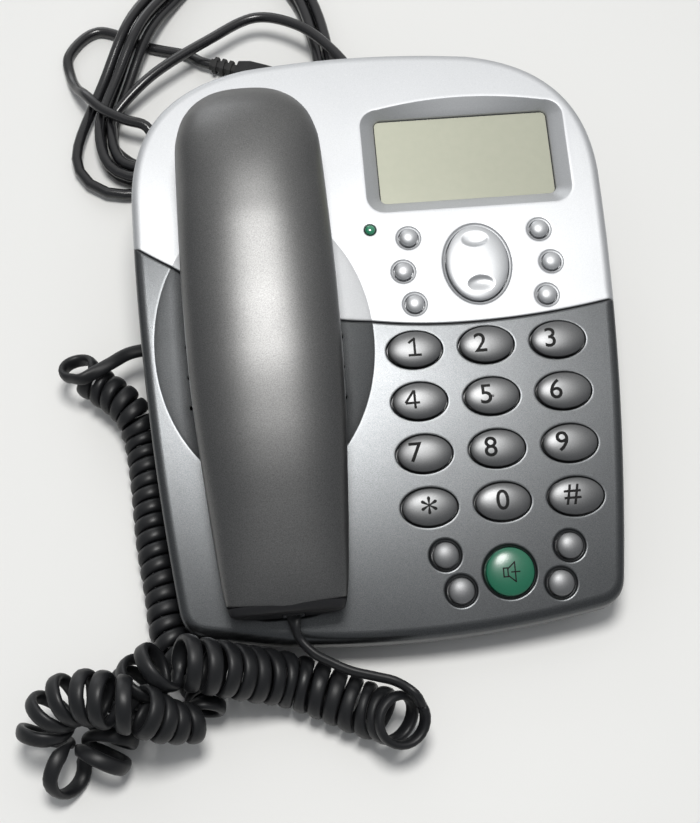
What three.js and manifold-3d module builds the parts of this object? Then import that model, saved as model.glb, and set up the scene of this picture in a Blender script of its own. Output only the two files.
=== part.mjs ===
// Corded desk telephone with a loudspeaker: two-tone housing, display, key field, handset on its cradle,
// a curly handset cord and a line cable coiled up behind the housing.
// Millimetres. X runs to the right, Y to the rear and Z up. The table is at Z = 0.
import * as THREE from "three";
import { mergeVertices } from "three/addons/utils/BufferGeometryUtils.js";
import Module from "manifold-3d";

const wasm = await Module();
wasm.setup();

// Housing outline and panel
const BASE_WIDTH = 184;
const BASE_LENGTH = 230;
const SIDE_RADIUS = 1170;
const FRONT_RADIUS = 410;
const REAR_RADIUS = 375;
const FRONT_CORNER = 8;
const REAR_CORNER = 46;
const PANEL_RADIUS = 1425;
const PANEL_HEIGHT = 47.6;
const PANEL_TILT = THREE.MathUtils.degToRad(11.24);
const EDGE_ROUND = 3;
const SKIRT_DROP = 8;
const SKIRT_DRAFT = 0.4;
const WALL = 2.5;
const GAP = 0.3;
const OVERRUN = 2;

// Places and sizes across the base as shares of its width, from its centre line
const ACROSS_SHARES = [
  ["grooveX", 0.1739],
  ["dishX", -0.2402],
  ["dishHalfWidth", 0.2261],
  ["screenX", 0.2174],
  ["screenWidth", 0.3804],
  ["recessWidth", 0.4391],
  ["lampX", -0.0016],
  ["keyX", 0.2158],
  ["keyPitch", 0.1489],
  ["keyWidth", 0.1109],
  ["smallWidth", 0.0375],
  ["smallRecess", 0.0543],
  ["functionWidth", 0.0516],
  ["functionRecess", 0.0674],
  ["speakerKeyWidth", 0.0967],
  ["speakerKeyRecess", 0.1109],
  ["rockerWidth", 0.1293],
  ["boardWidth", 0.413],
  ["handsetX", -0.2399],
  ["glandX", 0.0435],
];

// Places and sizes along the base as shares of its length, from its middle
const ALONG_SHARES = [
  ["widestY", 0.2261],
  ["grooveY", -0.0039],
  ["dishY", -0.0161],
  ["dishHalfLength", 0.2448],
  ["slotTopY", -0.0096],
  ["slotPitch", 0.0513],
  ["speakerY", -0.0913],
  ["screenY", 0.2935],
  ["screenHeight", 0.1478],
  ["recessBelow", 0.097],
  ["recessAbove", 0.0957],
  ["recessArch", 0.0157],
  ["lampY", 0.1678],
  ["keyY", -0.0448],
  ["keyPitch", 0.0878],
  ["keyHeight", 0.0604],
  ["smallHeight", 0.03],
  ["functionHeight", 0.0413],
  ["speakerKeyHeight", 0.0774],
  ["rockerY", 0.0957],
  ["rockerHeight", 0.1313],
  ["boardY", -0.1217],
  ["boardLength", 0.6],
  ["handsetY", -0.0231],
  ["handsetLength", 0.8884],
  ["basePlugY", 0.063],
];

// Places and sizes along the handset as shares of its length, from its middle
const ALONG_HANDSET_SHARES = [
  ["earPocketY", 0.373],
  ["earPocketLength", 0.205],
  ["mouthPocketY", -0.3851],
  ["mouthPocketLength", 0.206],
  ["plungerY", 0.4328],
  ["earCapsuleY", 0.3682],
  ["earCapsuleRadius", 0.0597],
  ["mouthCapsuleY", -0.3682],
  ["mouthCapsuleRadius", 0.0299],
  ["weightLength", 0.209],
];

// Groove between the two covers: two arcs that meet under the handset
const GROOVE_WIDTH = 0.7;
const GROOVE_RADIUS_LEFT = 215;
const GROOVE_RADIUS_RIGHT = 324;

// Tray, feet and housing screws, set in from the outline's sides, front and rear
const TRAY_FLOOR = 2.5;
const TRAY_SIDE_INSET = 14;
const TRAY_FRONT_INSET = 3;
const TRAY_REAR_INSET = 10;
const FOOT_RADIUS = 7;
const FOOT_HEIGHT = 3.2;
const FOOT_SEAT_DEPTH = 1;
const FOOT_SIDE_INSET = 34;
const FOOT_FRONT_INSET = 23;
const FOOT_REAR_INSET = 29;
const POST_RADIUS = 4.5;
const POST_WEB = 2.4;
const POST_ROOF = 4;
const POST_FRONT_SIDE_INSET = 20;
const POST_FRONT_INSET = 13;
const POST_REAR_SIDE_INSET = 34;
const POST_REAR_INSET = 16;
const SCREW_RADIUS = 1.5;
const SCREW_HEAD_RADIUS = 2.8;
const SCREW_HEAD_HEIGHT = 2;
const SCREW_LENGTH = 10;
const SCREW_CLEARANCE = 0.35;

// Finger dish with the loudspeaker's slots, whose half lengths are shares of the dish's half width
const DISH_DEPTH = 6;
const SLOT_WIDTH = 2;
const SLOT_SHARES = [0.726, 0.721, 0.714, 0.505];
const SPEAKER_RADIUS = 26;
const SPEAKER_DEPTH = 15;
const SPEAKER_RING_WALL = 2;
const SPEAKER_SEAT = 3;

// Loudspeaker as [share of its radius, share of its depth below its seat] from the magnet's back to the cone
const LOUDSPEAKER_SHARES = [
  [0, 1],
  [0.45, 1],
  [0.45, 0.55],
  [0.85, 0.14],
  [1.08, 0.14],
  [1.08, 0],
  [0.85, 0],
  [0.3, 0.4],
  [0, 0.3],
];

// Pockets for the handset's ends and the hook plunger in the rear one
const EAR_POCKET_WIDTH = 48;
const EAR_POCKET_DEPTH = 7;
const MOUTH_POCKET_WIDTH = 42;
const MOUTH_POCKET_DEPTH = 5.5;
const POCKET_CORNER = 15;
const POCKET_TAPER = 1.5;
const PLUNGER_WIDTH = 12;
const PLUNGER_LENGTH = 7;
const PLUNGER_RISE = 4;

// Display
const SCREEN_CORNER = 3;
const RECESS_CORNER = 7;
const RECESS_DEPTH = 3.4;
const RECESS_WALL = 1.8;
const LENS_THICKNESS = 1.6;
const LENS_MARGIN = 3;
const MODULE_THICKNESS = 5;

// Keys, buttons, rocker and lamp
const KEY_RISE = 2.6;
const KEY_TRAVEL = 1.5;
const KEY_CLEARANCE = 0.4;
const FLANGE_MARGIN = 1.5;
const FLANGE_THICKNESS = 1.1;
const SMALL_RISE = 2.2;
const FUNCTION_RISE = 2.6;
const SPEAKER_KEY_RISE = 2.8;
const RECESS_DISH_DEPTH = 1;
const ROCKER_RISE = 2.4;
const ROCKER_RECESS_MARGIN = 1.1;
const ROCKER_PLAY = 1.3;
const ROCKER_SIDES = 16;
const LAMP_DIAMETER = 3.9;

// Key mat and circuit board
const MAT_THICKNESS = 1;
const BOARD_THICKNESS = 1.6;
const BOARD_POST_RADIUS = 3;
const BOARD_POST_INSET = 4;

// Handset
const HANDSET_TURN = THREE.MathUtils.degToRad(0.85);
const CUP_CLEARANCE = 0.38;
const HANDSET_WIDTH = 57.1;
const HANDSET_HEIGHT = 36.5;
const HANDSET_WALL = 2.4;
const PARTING_DROP = 1.5;
const HANDSET_SIDES = 14;
const HANDSET_INSIDE_SIDES = 8;
const EAR_CAPSULE_FLOOR_SHARE = -0.0548;
const MOUTH_CAPSULE_FLOOR_SHARE = -0.0274;
const WEIGHT_FLOOR_SHARE = 0.4767;
const EAR_CAPSULE_HEIGHT = 7;
const MOUTH_CAPSULE_HEIGHT = 6;
const SOUND_HOLE_RADIUS = 1.2;
const SOUND_HOLE_CIRCLE = 6;
const SOUND_HOLES = 6;
const WEIGHT_WIDTH = 16;
const WEIGHT_HEIGHT = 7;

// Handset: stations along its length, each with shares of the half length, the width and the height.
// Columns: place, half width, top, widest line, underside.
const HANDSET_SHARES = [
  [-1, 0.67, 0.37, 0.28, -0.01],
  [-0.993, 0.715, 0.425, 0.29, -0.035],
  [-0.965, 0.75, 0.475, 0.3, -0.06],
  [-0.895, 0.793, 0.545, 0.31, -0.16],
  [-0.75, 0.845, 0.65, 0.33, -0.17],
  [-0.66, 0.873, 0.711, 0.35, -0.16],
  [-0.5, 0.913, 0.81, 0.46, 0.17],
  [-0.35, 0.951, 0.88, 0.52, 0.3],
  [-0.1, 0.99, 0.965, 0.57, 0.37],
  [0.15, 1, 1, 0.57, 0.38],
  [0.38, 0.993, 1, 0.53, 0.28],
  [0.5, 0.987, 0.985, 0.48, 0.2],
  [0.57, 0.985, 0.97, 0.42, -0.02],
  [0.63, 0.98, 0.95, 0.41, -0.19],
  [0.74, 0.965, 0.89, 0.4, -0.235],
  [0.84, 0.882, 0.79, 0.37, -0.25],
  [0.905, 0.75, 0.67, 0.34, -0.22],
  [0.96, 0.54, 0.51, 0.29, -0.08],
  [0.99, 0.31, 0.36, 0.25, 0.06],
  [1, 0.12, 0.27, 0.23, 0.15],
];
const HANDSET_TOP_POWER = 2.35;
const HANDSET_UNDER_POWER = 2.2;

// Modular plugs and their sockets
const PLUG_WIDTH = 7.7;
const PLUG_HEIGHT = 6.6;
const PLUG_LENGTH = 12;
const SOCKET_WALL = 2;
const SOCKET_ROOF = 1.2;
const SOCKET_BACK = 3;
const HANDSET_PLUG_X = 2;
const HANDSET_PLUG_Z = 5;
const HANDSET_SOCKET_START = 9;
const BASE_PLUG_Z = 16;
const BASE_PLUG_INSIDE = 8;

// Handset cord, a flat one. Its curls wind about the axis and slim down along the housing's left side.
const CORD_WIDTH = 5.4;
const CORD_THICKNESS = 2.8;
const CURL_RADIUS = 8.6;
const CURL_PITCH = 7.2;
const CURL_SLIM_RADIUS = 6;
const CURL_SLIM_PITCH = 6.4;
const CURL_SLIM_START = 215;
const CURL_SLIM_END = 245;
const CURL_STEPS = 8;
const CURL_SIDES = 5;
const CURL_START_TURN = 0.45;
const CURL_END_TURN = 0.25;
const CURL_END_STRAIGHT = 5.4;
const CURL_CLEARANCE = 0.8;
const CORD_SQUEEZED_WIDTH = 2.4;
const CURL_STRIDE = 0.1;
const BEND_WINDOW = 6;
const SQUEEZED_PITCH = 4.1;
const LEAST_INNER_SHARE = 0.25;
const LEAD_STEPS = 20;
const TAIL_STEPS = 8;
const TWIST_SHARE = 0.15;
const RINGS_APART = 5;
const CURL_AXIS = [
  [-4, -146, 21.5],
  [-7, -143, 16.5],
  [-12, -140, 12.5],
  [-19, -136.5, 10.6],
  [-31, -130, 10.3],
  [-44, -124.5, 11.5],
  [-57, -123, 18],
  [-73, -121.5, 28],
  [-84, -120, 31],
  [-94, -122, 26],
  [-103, -128, 14],
  [-110, -138, 10.5],
  [-115, -149, 10.3],
  [-123, -154, 10.3],
  [-132, -151, 10.3],
  [-138, -143, 13],
  [-135, -134, 21],
  [-125, -130, 28],
  [-114, -131.5, 32],
  [-100, -135, 33],
  [-87, -139, 23],
  [-77, -137, 14],
  [-75, -128, 10],
  [-80, -117, 8],
  [-86.5, -105, 7.5],
  [-89, -85, 7.5],
  [-91.5, -65, 7.5],
  [-93, -40, 7.6],
  [-95, -23, 8],
  [-98, -13, 11],
  [-103, -6, 12],
  [-110, 1, 11.5],
  [-117, 7, 11.5],
];
const LEAD_ROUTE = [
  [-39.3, -113.6, 27],
  [-34.4, -119.5, 26],
  [-28.6, -123, 25],
  [-21.6, -126.6, 24.5],
  [-12.8, -129.3, 24],
  [-5.6, -131.4, 23],
];
const TAIL_ROUTE = [[-104, 15.5, 17]];

// Line cable, round. Its hank winds in two layers; the tail dips under the hank and comes back over it.
const CABLE_DIAMETER = 4.6;
const CABLE_REST = 2.4;
const HANK_TURNS = 4;
const HANK_STEPS = 24;
const HANK_SIDES = 6;
const HANK_SPACING = 5.4;
const HANK_HUMP = 6.4;
const HUMP_PLACE = 0.845;
const HUMP_SPREAD = 0.045;
const BULGE = 7;
const BULGE_TURN = 2.04;
const BULGE_SPREAD = 0.03;
const CABLE_LEAD_STEPS = 16;
const CABLE_TAIL_STEPS = 22;
const HANK_LOOP = [
  [-110, 129, 0],
  [-104, 108, 0],
  [-86, 103, 0],
  [-55, 116, 0],
  [-25, 124, 0],
  [-10, 141, 0],
  [-9, 163, 0],
  [-17, 200, 0],
  [-35, 225, 0],
  [-60, 222, 0],
  [-81, 200, 0],
  [-101, 159, 0],
];
const CABLE_LEAD_ROUTE = [
  [4, 140, 17],
  [-5, 157, 17],
  [-19, 173, 16],
  [-38, 181, 14],
  [-60, 170, 14],
  [-88, 151, 13],
];
const CABLE_TAIL_ROUTE = [
  [-100, 117, 2.6],
  [-93, 112, 4],
  [-86, 117, 9],
  [-89, 125.5, 13],
  [-98, 129.5, 13.6],
  [-108, 136, 13.6],
  [-115, 145, 12],
  [-120, 154, 6],
  [-123, 163, 2.6],
  [-124, 175, 2.5],
  [-111, 188, 2.5],
  [-87, 177, 2.5],
  [-70, 171, 3],
];
const RELIEF_PLACE = [-60, 164, 4.5];
const RELIEF_LENGTH = 12;
const RELIEF_RADIUS = 3.9;
const RELIEF_RIBS = 3;
const LINE_PLUG_TURN = THREE.MathUtils.degToRad(-22);
const LINE_PLUG_LENGTH = 24;
const LINE_PLUG_WIDTH = 10.5;
const LINE_PLUG_HEIGHT = 8;
const LINE_TIP_LENGTH = 6;
const LINE_TIP_SHARE = 0.6;
const LINE_SHOULDER_SHARE = 0.78;
const GLAND_Z = 18;
const GLAND_LENGTH = 12;
const GLAND_RADIUS = 3.6;
const GLAND_COLLAR_MARGIN = 1.4;
const GLAND_COLLAR_LENGTH = 1.5;
const GLAND_LIP = 0.5;

const COLOURS = {
  silver: { color: 0xc9ccd0, roughness: 0.38, metalness: 0.75 },
  grey: { color: 0x5d5d61, roughness: 0.45, metalness: 0.6 },
  dark: { color: 0x2b2b2d, roughness: 0.6, metalness: 0.1 },
  button: { color: 0x7a7b7d, roughness: 0.4, metalness: 0.5 },
  green: { color: 0x0c7a4b, roughness: 0.35, metalness: 0 },
  lens: { color: 0xb9c0ae, roughness: 0.2, metalness: 0 },
  board: { color: 0x2f6b3a, roughness: 0.6, metalness: 0 },
  rubber: { color: 0x1a1a1a, roughness: 0.9, metalness: 0 },
  steel: { color: 0xa8a8aa, roughness: 0.35, metalness: 1 },
  clear: { color: 0xd6dcdc, roughness: 0.15, metalness: 0 },
  cord: { color: 0x121314, roughness: 0.5, metalness: 0 },
};

const phone = new THREE.Group();
const X_AXIS = new THREE.Vector3(1, 0, 0);
const Y_AXIS = new THREE.Vector3(0, 1, 0);
const Z_AXIS = new THREE.Vector3(0, 0, 1);

// The places and sizes that a table of shares gives for one length
function scaled(shares, length) {
  return Object.fromEntries(shares.map(([name, share]) => [name, share * length]));
}

const acrossBase = scaled(ACROSS_SHARES, BASE_WIDTH);
const alongBase = scaled(ALONG_SHARES, BASE_LENGTH);
const alongHandset = scaled(ALONG_HANDSET_SHARES, alongBase.handsetLength);

// Adds a mesh named name to the group parent, in the colour named by paint.
function addPiece(parent, name, shape, paint) {
  const geometry = shape.isBufferGeometry ? shape : geometryOf(shape);
  const mesh = new THREE.Mesh(geometry, new THREE.MeshStandardMaterial(COLOURS[paint]));
  mesh.name = name;
  parent.add(mesh);
  return mesh;
}

// A closed geometry as a solid that can be cut and joined.
function solidOf(geometry) {
  const bare = new THREE.BufferGeometry();
  bare.setAttribute("position", geometry.getAttribute("position").clone());
  bare.setIndex(geometry.getIndex());
  const merged = mergeVertices(bare);
  return new wasm.Manifold(
    new wasm.Mesh({
      numProp: 3,
      vertProperties: new Float32Array(merged.getAttribute("position").array),
      triVerts: new Uint32Array(merged.getIndex().array),
    }),
  );
}

// Several solids joined into one.
function joined(solids) {
  return solids.reduce((all, solid) => all.add(solid));
}

function geometryOf(solid) {
  const mesh = solid.getMesh();
  const geometry = new THREE.BufferGeometry();
  geometry.setAttribute("position", new THREE.BufferAttribute(mesh.vertProperties, mesh.numProp));
  geometry.setIndex(new THREE.BufferAttribute(mesh.triVerts, 1));
  return geometry;
}

// Panel height and slope at a place along Y, and the frame that lies on the panel there, with Z square to it
const panelCentreY = PANEL_RADIUS * Math.sin(PANEL_TILT);
const panelCentreZ = PANEL_HEIGHT - PANEL_RADIUS * Math.cos(PANEL_TILT);

function panelHeight(y) {
  return panelCentreZ + Math.sqrt(PANEL_RADIUS ** 2 - (y - panelCentreY) ** 2);
}

function panelSlope(y) {
  return Math.asin((panelCentreY - y) / PANEL_RADIUS);
}

function panelFrame(x, y, turn = 0, lift = 0) {
  const frame = new THREE.Matrix4().makeRotationX(panelSlope(y));
  frame.multiply(new THREE.Matrix4().makeRotationZ(turn));
  return frame.setPosition(x, y, panelHeight(y) + lift);
}

function panelGroup(x, y, turn = 0, lift = 0) {
  const group = new THREE.Group();
  panelFrame(x, y, turn, lift).decompose(group.position, group.quaternion, group.scale);
  phone.add(group);
  return group;
}

// How far the panel falls below its tangent plane at a distance from where they touch.
function panelSag(distance) {
  return PANEL_RADIUS - Math.sqrt(PANEL_RADIUS ** 2 - distance ** 2);
}

// Rings with equal counts of points joined into one closed skin. The rings run counterclockwise about the way
// that they are stacked, and the two end rings are closed by fans.
function skin(rings) {
  const count = rings[0].length;
  const positions = rings.flat().flatMap((point) => [point.x, point.y, point.z]);
  const faces = [];
  for (let r = 0; r + 1 < rings.length; r += 1) {
    for (let i = 0; i < count; i += 1) {
      const a = r * count + i;
      const b = r * count + ((i + 1) % count);
      faces.push(a, b, b + count, a, b + count, a + count);
    }
  }
  const last = (rings.length - 1) * count;
  for (let i = 1; i + 1 < count; i += 1) {
    faces.push(0, i + 1, i);
    faces.push(last, last + i, last + i + 1);
  }
  return closedGeometry(positions, faces);
}

function closedGeometry(positions, faces) {
  const geometry = new THREE.BufferGeometry();
  geometry.setAttribute("position", new THREE.Float32BufferAttribute(positions, 3));
  geometry.setIndex(faces);
  return geometry;
}

function extruded(shape, depth, segments = 12) {
  return new THREE.ExtrudeGeometry(shape, { depth, bevelEnabled: false, curveSegments: segments });
}

function ovalShape(width, height) {
  return new THREE.Shape().absellipse(0, 0, width / 2, height / 2, 0, 2 * Math.PI);
}

function roundedShape(width, height, corner) {
  const [x, y] = [width / 2 - corner, height / 2 - corner];
  const shape = new THREE.Shape();
  shape.absarc(x, -y, corner, -Math.PI / 2, 0);
  shape.absarc(x, y, corner, 0, Math.PI / 2);
  shape.absarc(-x, y, corner, Math.PI / 2, Math.PI);
  shape.absarc(-x, -y, corner, Math.PI, Math.PI * 1.5);
  return shape;
}

// A profile of [radius, height] pairs turned about Z. It starts and ends on the axis.
function turned(profile, segments) {
  const points = profile.map(([radius, height]) => new THREE.Vector2(radius, height));
  return new THREE.LatheGeometry(points, segments).rotateX(Math.PI / 2);
}

function box(width, depth, height) {
  return new THREE.BoxGeometry(width, depth, height).translate(0, 0, height / 2);
}

// Housing outline: half of it from the front centre by the right side to the rear centre, then mirrored
function sideX(y) {
  return BASE_WIDTH / 2 - SIDE_RADIUS + Math.sqrt(SIDE_RADIUS ** 2 - (y - alongBase.widestY) ** 2);
}

function frontY(x) {
  return FRONT_RADIUS - BASE_LENGTH / 2 - Math.sqrt(FRONT_RADIUS ** 2 - x ** 2);
}

function rearY(x) {
  return BASE_LENGTH / 2 - REAR_RADIUS + Math.sqrt(REAR_RADIUS ** 2 - x ** 2);
}

function cornerAt(endY) {
  let x = BASE_WIDTH / 2;
  for (let i = 0; i < 6; i += 1) x = sideX(endY(x));
  return new THREE.Vector2(x, endY(x));
}

function spread(count) {
  return Array.from({ length: count }, (_, i) => i / (count - 1));
}

function halfOutline() {
  const front = cornerAt(frontY);
  const rear = cornerAt(rearY);
  const frontStart = new THREE.Vector2(front.x - FRONT_CORNER, frontY(front.x - FRONT_CORNER));
  const frontEnd = new THREE.Vector2(sideX(front.y + FRONT_CORNER), front.y + FRONT_CORNER);
  const rearStart = new THREE.Vector2(sideX(rear.y - REAR_CORNER), rear.y - REAR_CORNER);
  const rearEnd = new THREE.Vector2(rear.x - REAR_CORNER, rearY(rear.x - REAR_CORNER));
  const points = spread(3).map((t) => new THREE.Vector2(frontStart.x * t, frontY(frontStart.x * t)));
  points.push(...new THREE.QuadraticBezierCurve(frontStart, front, frontEnd).getPoints(3).slice(1));
  for (const t of spread(4).slice(1)) {
    const y = THREE.MathUtils.lerp(frontEnd.y, rearStart.y, t);
    points.push(new THREE.Vector2(sideX(y), y));
  }
  points.push(...new THREE.QuadraticBezierCurve(rearStart, rear, rearEnd).getPoints(5).slice(1));
  for (const t of spread(3).slice(1)) {
    const x = rearEnd.x * (1 - t);
    points.push(new THREE.Vector2(x, rearY(x)));
  }
  return points;
}

const half = halfOutline();
const outline = half.concat(
  half
    .slice(1, -1)
    .reverse()
    .map((point) => new THREE.Vector2(-point.x, point.y)),
);

// The outline moved inwards by inset, at the height that heightAt gives for each place.
function outlineRing(inset, heightAt) {
  return outline.map((point, i) => {
    const before = outline[(i + outline.length - 1) % outline.length];
    const after = outline[(i + 1) % outline.length];
    const along = after.clone().sub(before).normalize();
    const x = point.x - along.y * inset;
    const y = point.y + along.x * inset;
    return new THREE.Vector3(x, y, heightAt(y));
  });
}

// A skin whose last ring is closed by strips from side to side, so that it follows the panel's curve.
function housingSkin(rings) {
  const count = outline.length;
  const positions = rings.flat().flatMap((point) => [point.x, point.y, point.z]);
  const faces = [];
  for (let r = 0; r + 1 < rings.length; r += 1) {
    for (let i = 0; i < count; i += 1) {
      const a = r * count + i;
      const b = r * count + ((i + 1) % count);
      faces.push(a, b, b + count, a, b + count, a + count);
    }
  }
  const last = (rings.length - 1) * count;
  for (let i = 0; i < count / 2; i += 1) {
    const [right, rightNext] = [i, i + 1];
    const [left, leftNext] = [(count - i) % count, count - i - 1];
    if (right !== left) {
      faces.push(last + right, last + rightNext, last + left);
      faces.push(right, left, rightNext);
    }
    if (rightNext !== leftNext) {
      faces.push(last + rightNext, last + leftNext, last + left);
      faces.push(rightNext, left, leftNext);
    }
  }
  return closedGeometry(positions, faces);
}

// The covers' common body: rounded top edge over a skirt that follows the panel
function coverBody() {
  const rings = [outlineRing(SKIRT_DRAFT, (y) => panelHeight(y) - SKIRT_DROP)];
  for (const t of spread(3)) {
    const angle = (t * Math.PI) / 2;
    const inset = EDGE_ROUND * (1 - Math.cos(angle));
    const drop = EDGE_ROUND * (1 - Math.sin(angle));
    rings.push(outlineRing(inset, (y) => panelHeight(y) - drop));
  }
  const inner = [
    outlineRing(WALL + SKIRT_DRAFT, (y) => panelHeight(y) - SKIRT_DROP - OVERRUN),
    outlineRing(WALL, (y) => panelHeight(y) - WALL - EDGE_ROUND / 2),
    outlineRing(WALL + EDGE_ROUND / 2, (y) => panelHeight(y) - WALL),
  ];
  return solidOf(housingSkin(rings)).subtract(solidOf(housingSkin(inner)));
}

// The finger dish as a turned bowl, stretched to an oval
const DISH_PROFILE_SHARES = [
  [0.5, -1],
  [0.86, -0.72],
  [0.97, -0.3],
  [1, 0.12],
];

const DISH_UNDERSIDE_SHARES = [
  [0.62, -1],
  [1, -0.3],
];

function dishBowl(margin) {
  const profile = [[0, -DISH_DEPTH - margin]];
  for (const [across, down] of margin ? DISH_UNDERSIDE_SHARES : DISH_PROFILE_SHARES) {
    profile.push([across, DISH_DEPTH * down - margin]);
  }
  const rim = margin ? -GAP : OVERRUN * 2;
  profile.push([1, rim], [0, rim]);
  const bowl = turned(profile, margin ? 12 : 20);
  bowl.scale(acrossBase.dishHalfWidth + margin, alongBase.dishHalfLength + margin, 1);
  return solidOf(bowl.applyMatrix4(panelFrame(acrossBase.dishX, alongBase.dishY)));
}

function soundSlots() {
  return SLOT_SHARES.map((share, i) => {
    const y = alongBase.slotTopY - alongBase.slotPitch * i;
    const depth = DISH_DEPTH + WALL + GAP;
    const slotLength = 2 * share * acrossBase.dishHalfWidth;
    const slot = box(slotLength, SLOT_WIDTH, depth + OVERRUN).translate(0, 0, -depth);
    return solidOf(slot.applyMatrix4(panelFrame(acrossBase.dishX, y)));
  });
}

// A pocket that narrows as it goes down, in the handset's line; the margin gives its outer wall
const [cupPlace, , , , cupDepth] = HANDSET_SHARES.reduce((deepest, station) =>
  station[4] < deepest[4] ? station : deepest,
);
const cupFall = panelSag((cupPlace * alongBase.handsetLength) / 2);
const handsetLift = CUP_CLEARANCE - cupDepth * HANDSET_HEIGHT - EAR_POCKET_DEPTH - cupFall;
const handsetFrame = panelFrame(acrossBase.handsetX, alongBase.handsetY, HANDSET_TURN, handsetLift);

function handsetPlace(offset) {
  const reach = offset / Math.cos(panelSlope(alongBase.handsetY));
  return [new THREE.Vector3(0, reach, 0).applyMatrix4(handsetFrame).x, alongBase.handsetY + offset];
}

function pocket(offset, width, length, depth, margin) {
  const ring = (taper, z) =>
    roundedShape(width + 2 * margin - taper, length + 2 * margin - taper, POCKET_CORNER + margin - taper / 2)
      .getPoints(3)
      .slice(0, -1)
      .map((point) => new THREE.Vector3(point.x, point.y, z));
  const top = margin ? -GAP : OVERRUN * 2;
  const shape = skin([ring(2 * POCKET_TAPER, -depth - margin), ring(0, top)]);
  return solidOf(shape.applyMatrix4(panelFrame(...handsetPlace(offset), HANDSET_TURN)));
}

function earPocket(margin) {
  const { earPocketY, earPocketLength } = alongHandset;
  return pocket(earPocketY, EAR_POCKET_WIDTH, earPocketLength, EAR_POCKET_DEPTH, margin);
}

function mouthPocket(margin) {
  const { mouthPocketY, mouthPocketLength } = alongHandset;
  return pocket(mouthPocketY, MOUTH_POCKET_WIDTH, mouthPocketLength, MOUTH_POCKET_DEPTH, margin);
}

// Display recess: a frame with an arched top edge that slopes down to the window
function framePoints(halfWidth, below, above, arch, corner) {
  const shape = new THREE.Shape();
  shape.absarc(halfWidth - corner, corner - below, corner, -Math.PI / 2, 0);
  shape.absarc(halfWidth - corner, above - corner, corner, 0, Math.PI / 2);
  shape.quadraticCurveTo(0, above + 2 * arch, corner - halfWidth, above);
  shape.absarc(corner - halfWidth, above - corner, corner, Math.PI / 2, Math.PI);
  shape.absarc(corner - halfWidth, corner - below, corner, Math.PI, Math.PI * 1.5);
  return shape.getPoints(3);
}

function frameRing(margin, share, z) {
  const lerp = THREE.MathUtils.lerp;
  const points = framePoints(
    lerp(acrossBase.recessWidth / 2, acrossBase.screenWidth / 2, share) + margin,
    lerp(alongBase.recessBelow, alongBase.screenHeight / 2, share) + margin,
    lerp(alongBase.recessAbove, alongBase.screenHeight / 2, share) + margin,
    alongBase.recessArch * (1 - share) + (GAP * share) / 4,
    lerp(RECESS_CORNER, SCREEN_CORNER, share) + margin,
  );
  return points.map((point) => new THREE.Vector3(point.x, point.y, z));
}

function displayRecess() {
  const place = panelFrame(acrossBase.screenX, alongBase.screenY);
  const walls = skin([
    frameRing(RECESS_WALL, 1, -RECESS_DEPTH - RECESS_WALL),
    frameRing(RECESS_WALL, 0, -GAP - panelSag(alongBase.recessAbove)),
  ]);
  const cut = skin([
    frameRing(0, 1, -RECESS_DEPTH - RECESS_WALL - OVERRUN),
    frameRing(0, 1, -RECESS_DEPTH),
    frameRing(0, 0, 0),
    frameRing(0, 0, OVERRUN),
  ]);
  return [solidOf(walls.applyMatrix4(place)), solidOf(cut.applyMatrix4(place))];
}

// Keys: each key's kind gives its cap, its rise and the dished recess round it
const KEY_NAMES = ["1", "2", "3", "4", "5", "6", "7", "8", "9", "star", "0", "hash"];
const KINDS = {
  digit: {
    width: acrossBase.keyWidth,
    height: alongBase.keyHeight,
    rise: KEY_RISE,
    recess: 0,
    paint: "button",
    sides: 12,
  },
  small: {
    width: acrossBase.smallWidth,
    height: alongBase.smallHeight,
    rise: SMALL_RISE,
    recess: acrossBase.smallRecess,
    paint: "silver",
    sides: 8,
  },
  function: {
    width: acrossBase.functionWidth,
    height: alongBase.functionHeight,
    rise: FUNCTION_RISE,
    recess: acrossBase.functionRecess,
    paint: "button",
    sides: 12,
  },
  speaker: {
    width: acrossBase.speakerKeyWidth,
    height: alongBase.speakerKeyHeight,
    rise: SPEAKER_KEY_RISE,
    recess: acrossBase.speakerKeyRecess,
    paint: "green",
    sides: 12,
  },
};

// Round keys as [name, kind, distance from the key field's centre line, Y], in shares of the base's sizes
const ROUND_KEY_SHARES = [
  ["silver_button_left_1", "small", -0.1386, 0.1487],
  ["silver_button_left_2", "small", -0.156, 0.0904],
  ["silver_button_left_3", "small", -0.1386, 0.033],
  ["silver_button_right_1", "small", 0.1386, 0.1487],
  ["silver_button_right_2", "small", 0.156, 0.0904],
  ["silver_button_right_3", "small", 0.1386, 0.033],
  ["function_button_left_1", "function", -0.1255, -0.3778],
  ["function_button_left_2", "function", -0.1005, -0.4343],
  ["function_button_right_1", "function", 0.1255, -0.3778],
  ["function_button_right_2", "function", 0.1005, -0.4343],
  ["speaker_key", "speaker", 0, -0.4109],
];

function digitPlaces() {
  const first = panelSlope(alongBase.keyY);
  return KEY_NAMES.map((label, i) => {
    const slope = first + (alongBase.keyPitch * Math.floor(i / 3)) / PANEL_RADIUS;
    return {
      name: `key_${label}`,
      kind: KINDS.digit,
      x: acrossBase.keyX + acrossBase.keyPitch * ((i % 3) - 1),
      y: panelCentreY - PANEL_RADIUS * Math.sin(slope),
    };
  });
}

const keys = digitPlaces().concat(
  ROUND_KEY_SHARES.map(([name, kind, offset, place]) => ({
    name,
    kind: KINDS[kind],
    x: acrossBase.keyX + offset * BASE_WIDTH,
    y: place * BASE_LENGTH,
  })),
);

const KEY_CROWN_SHARES = [
  [1, 0.6],
  [0.84, 0.93],
];

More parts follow.
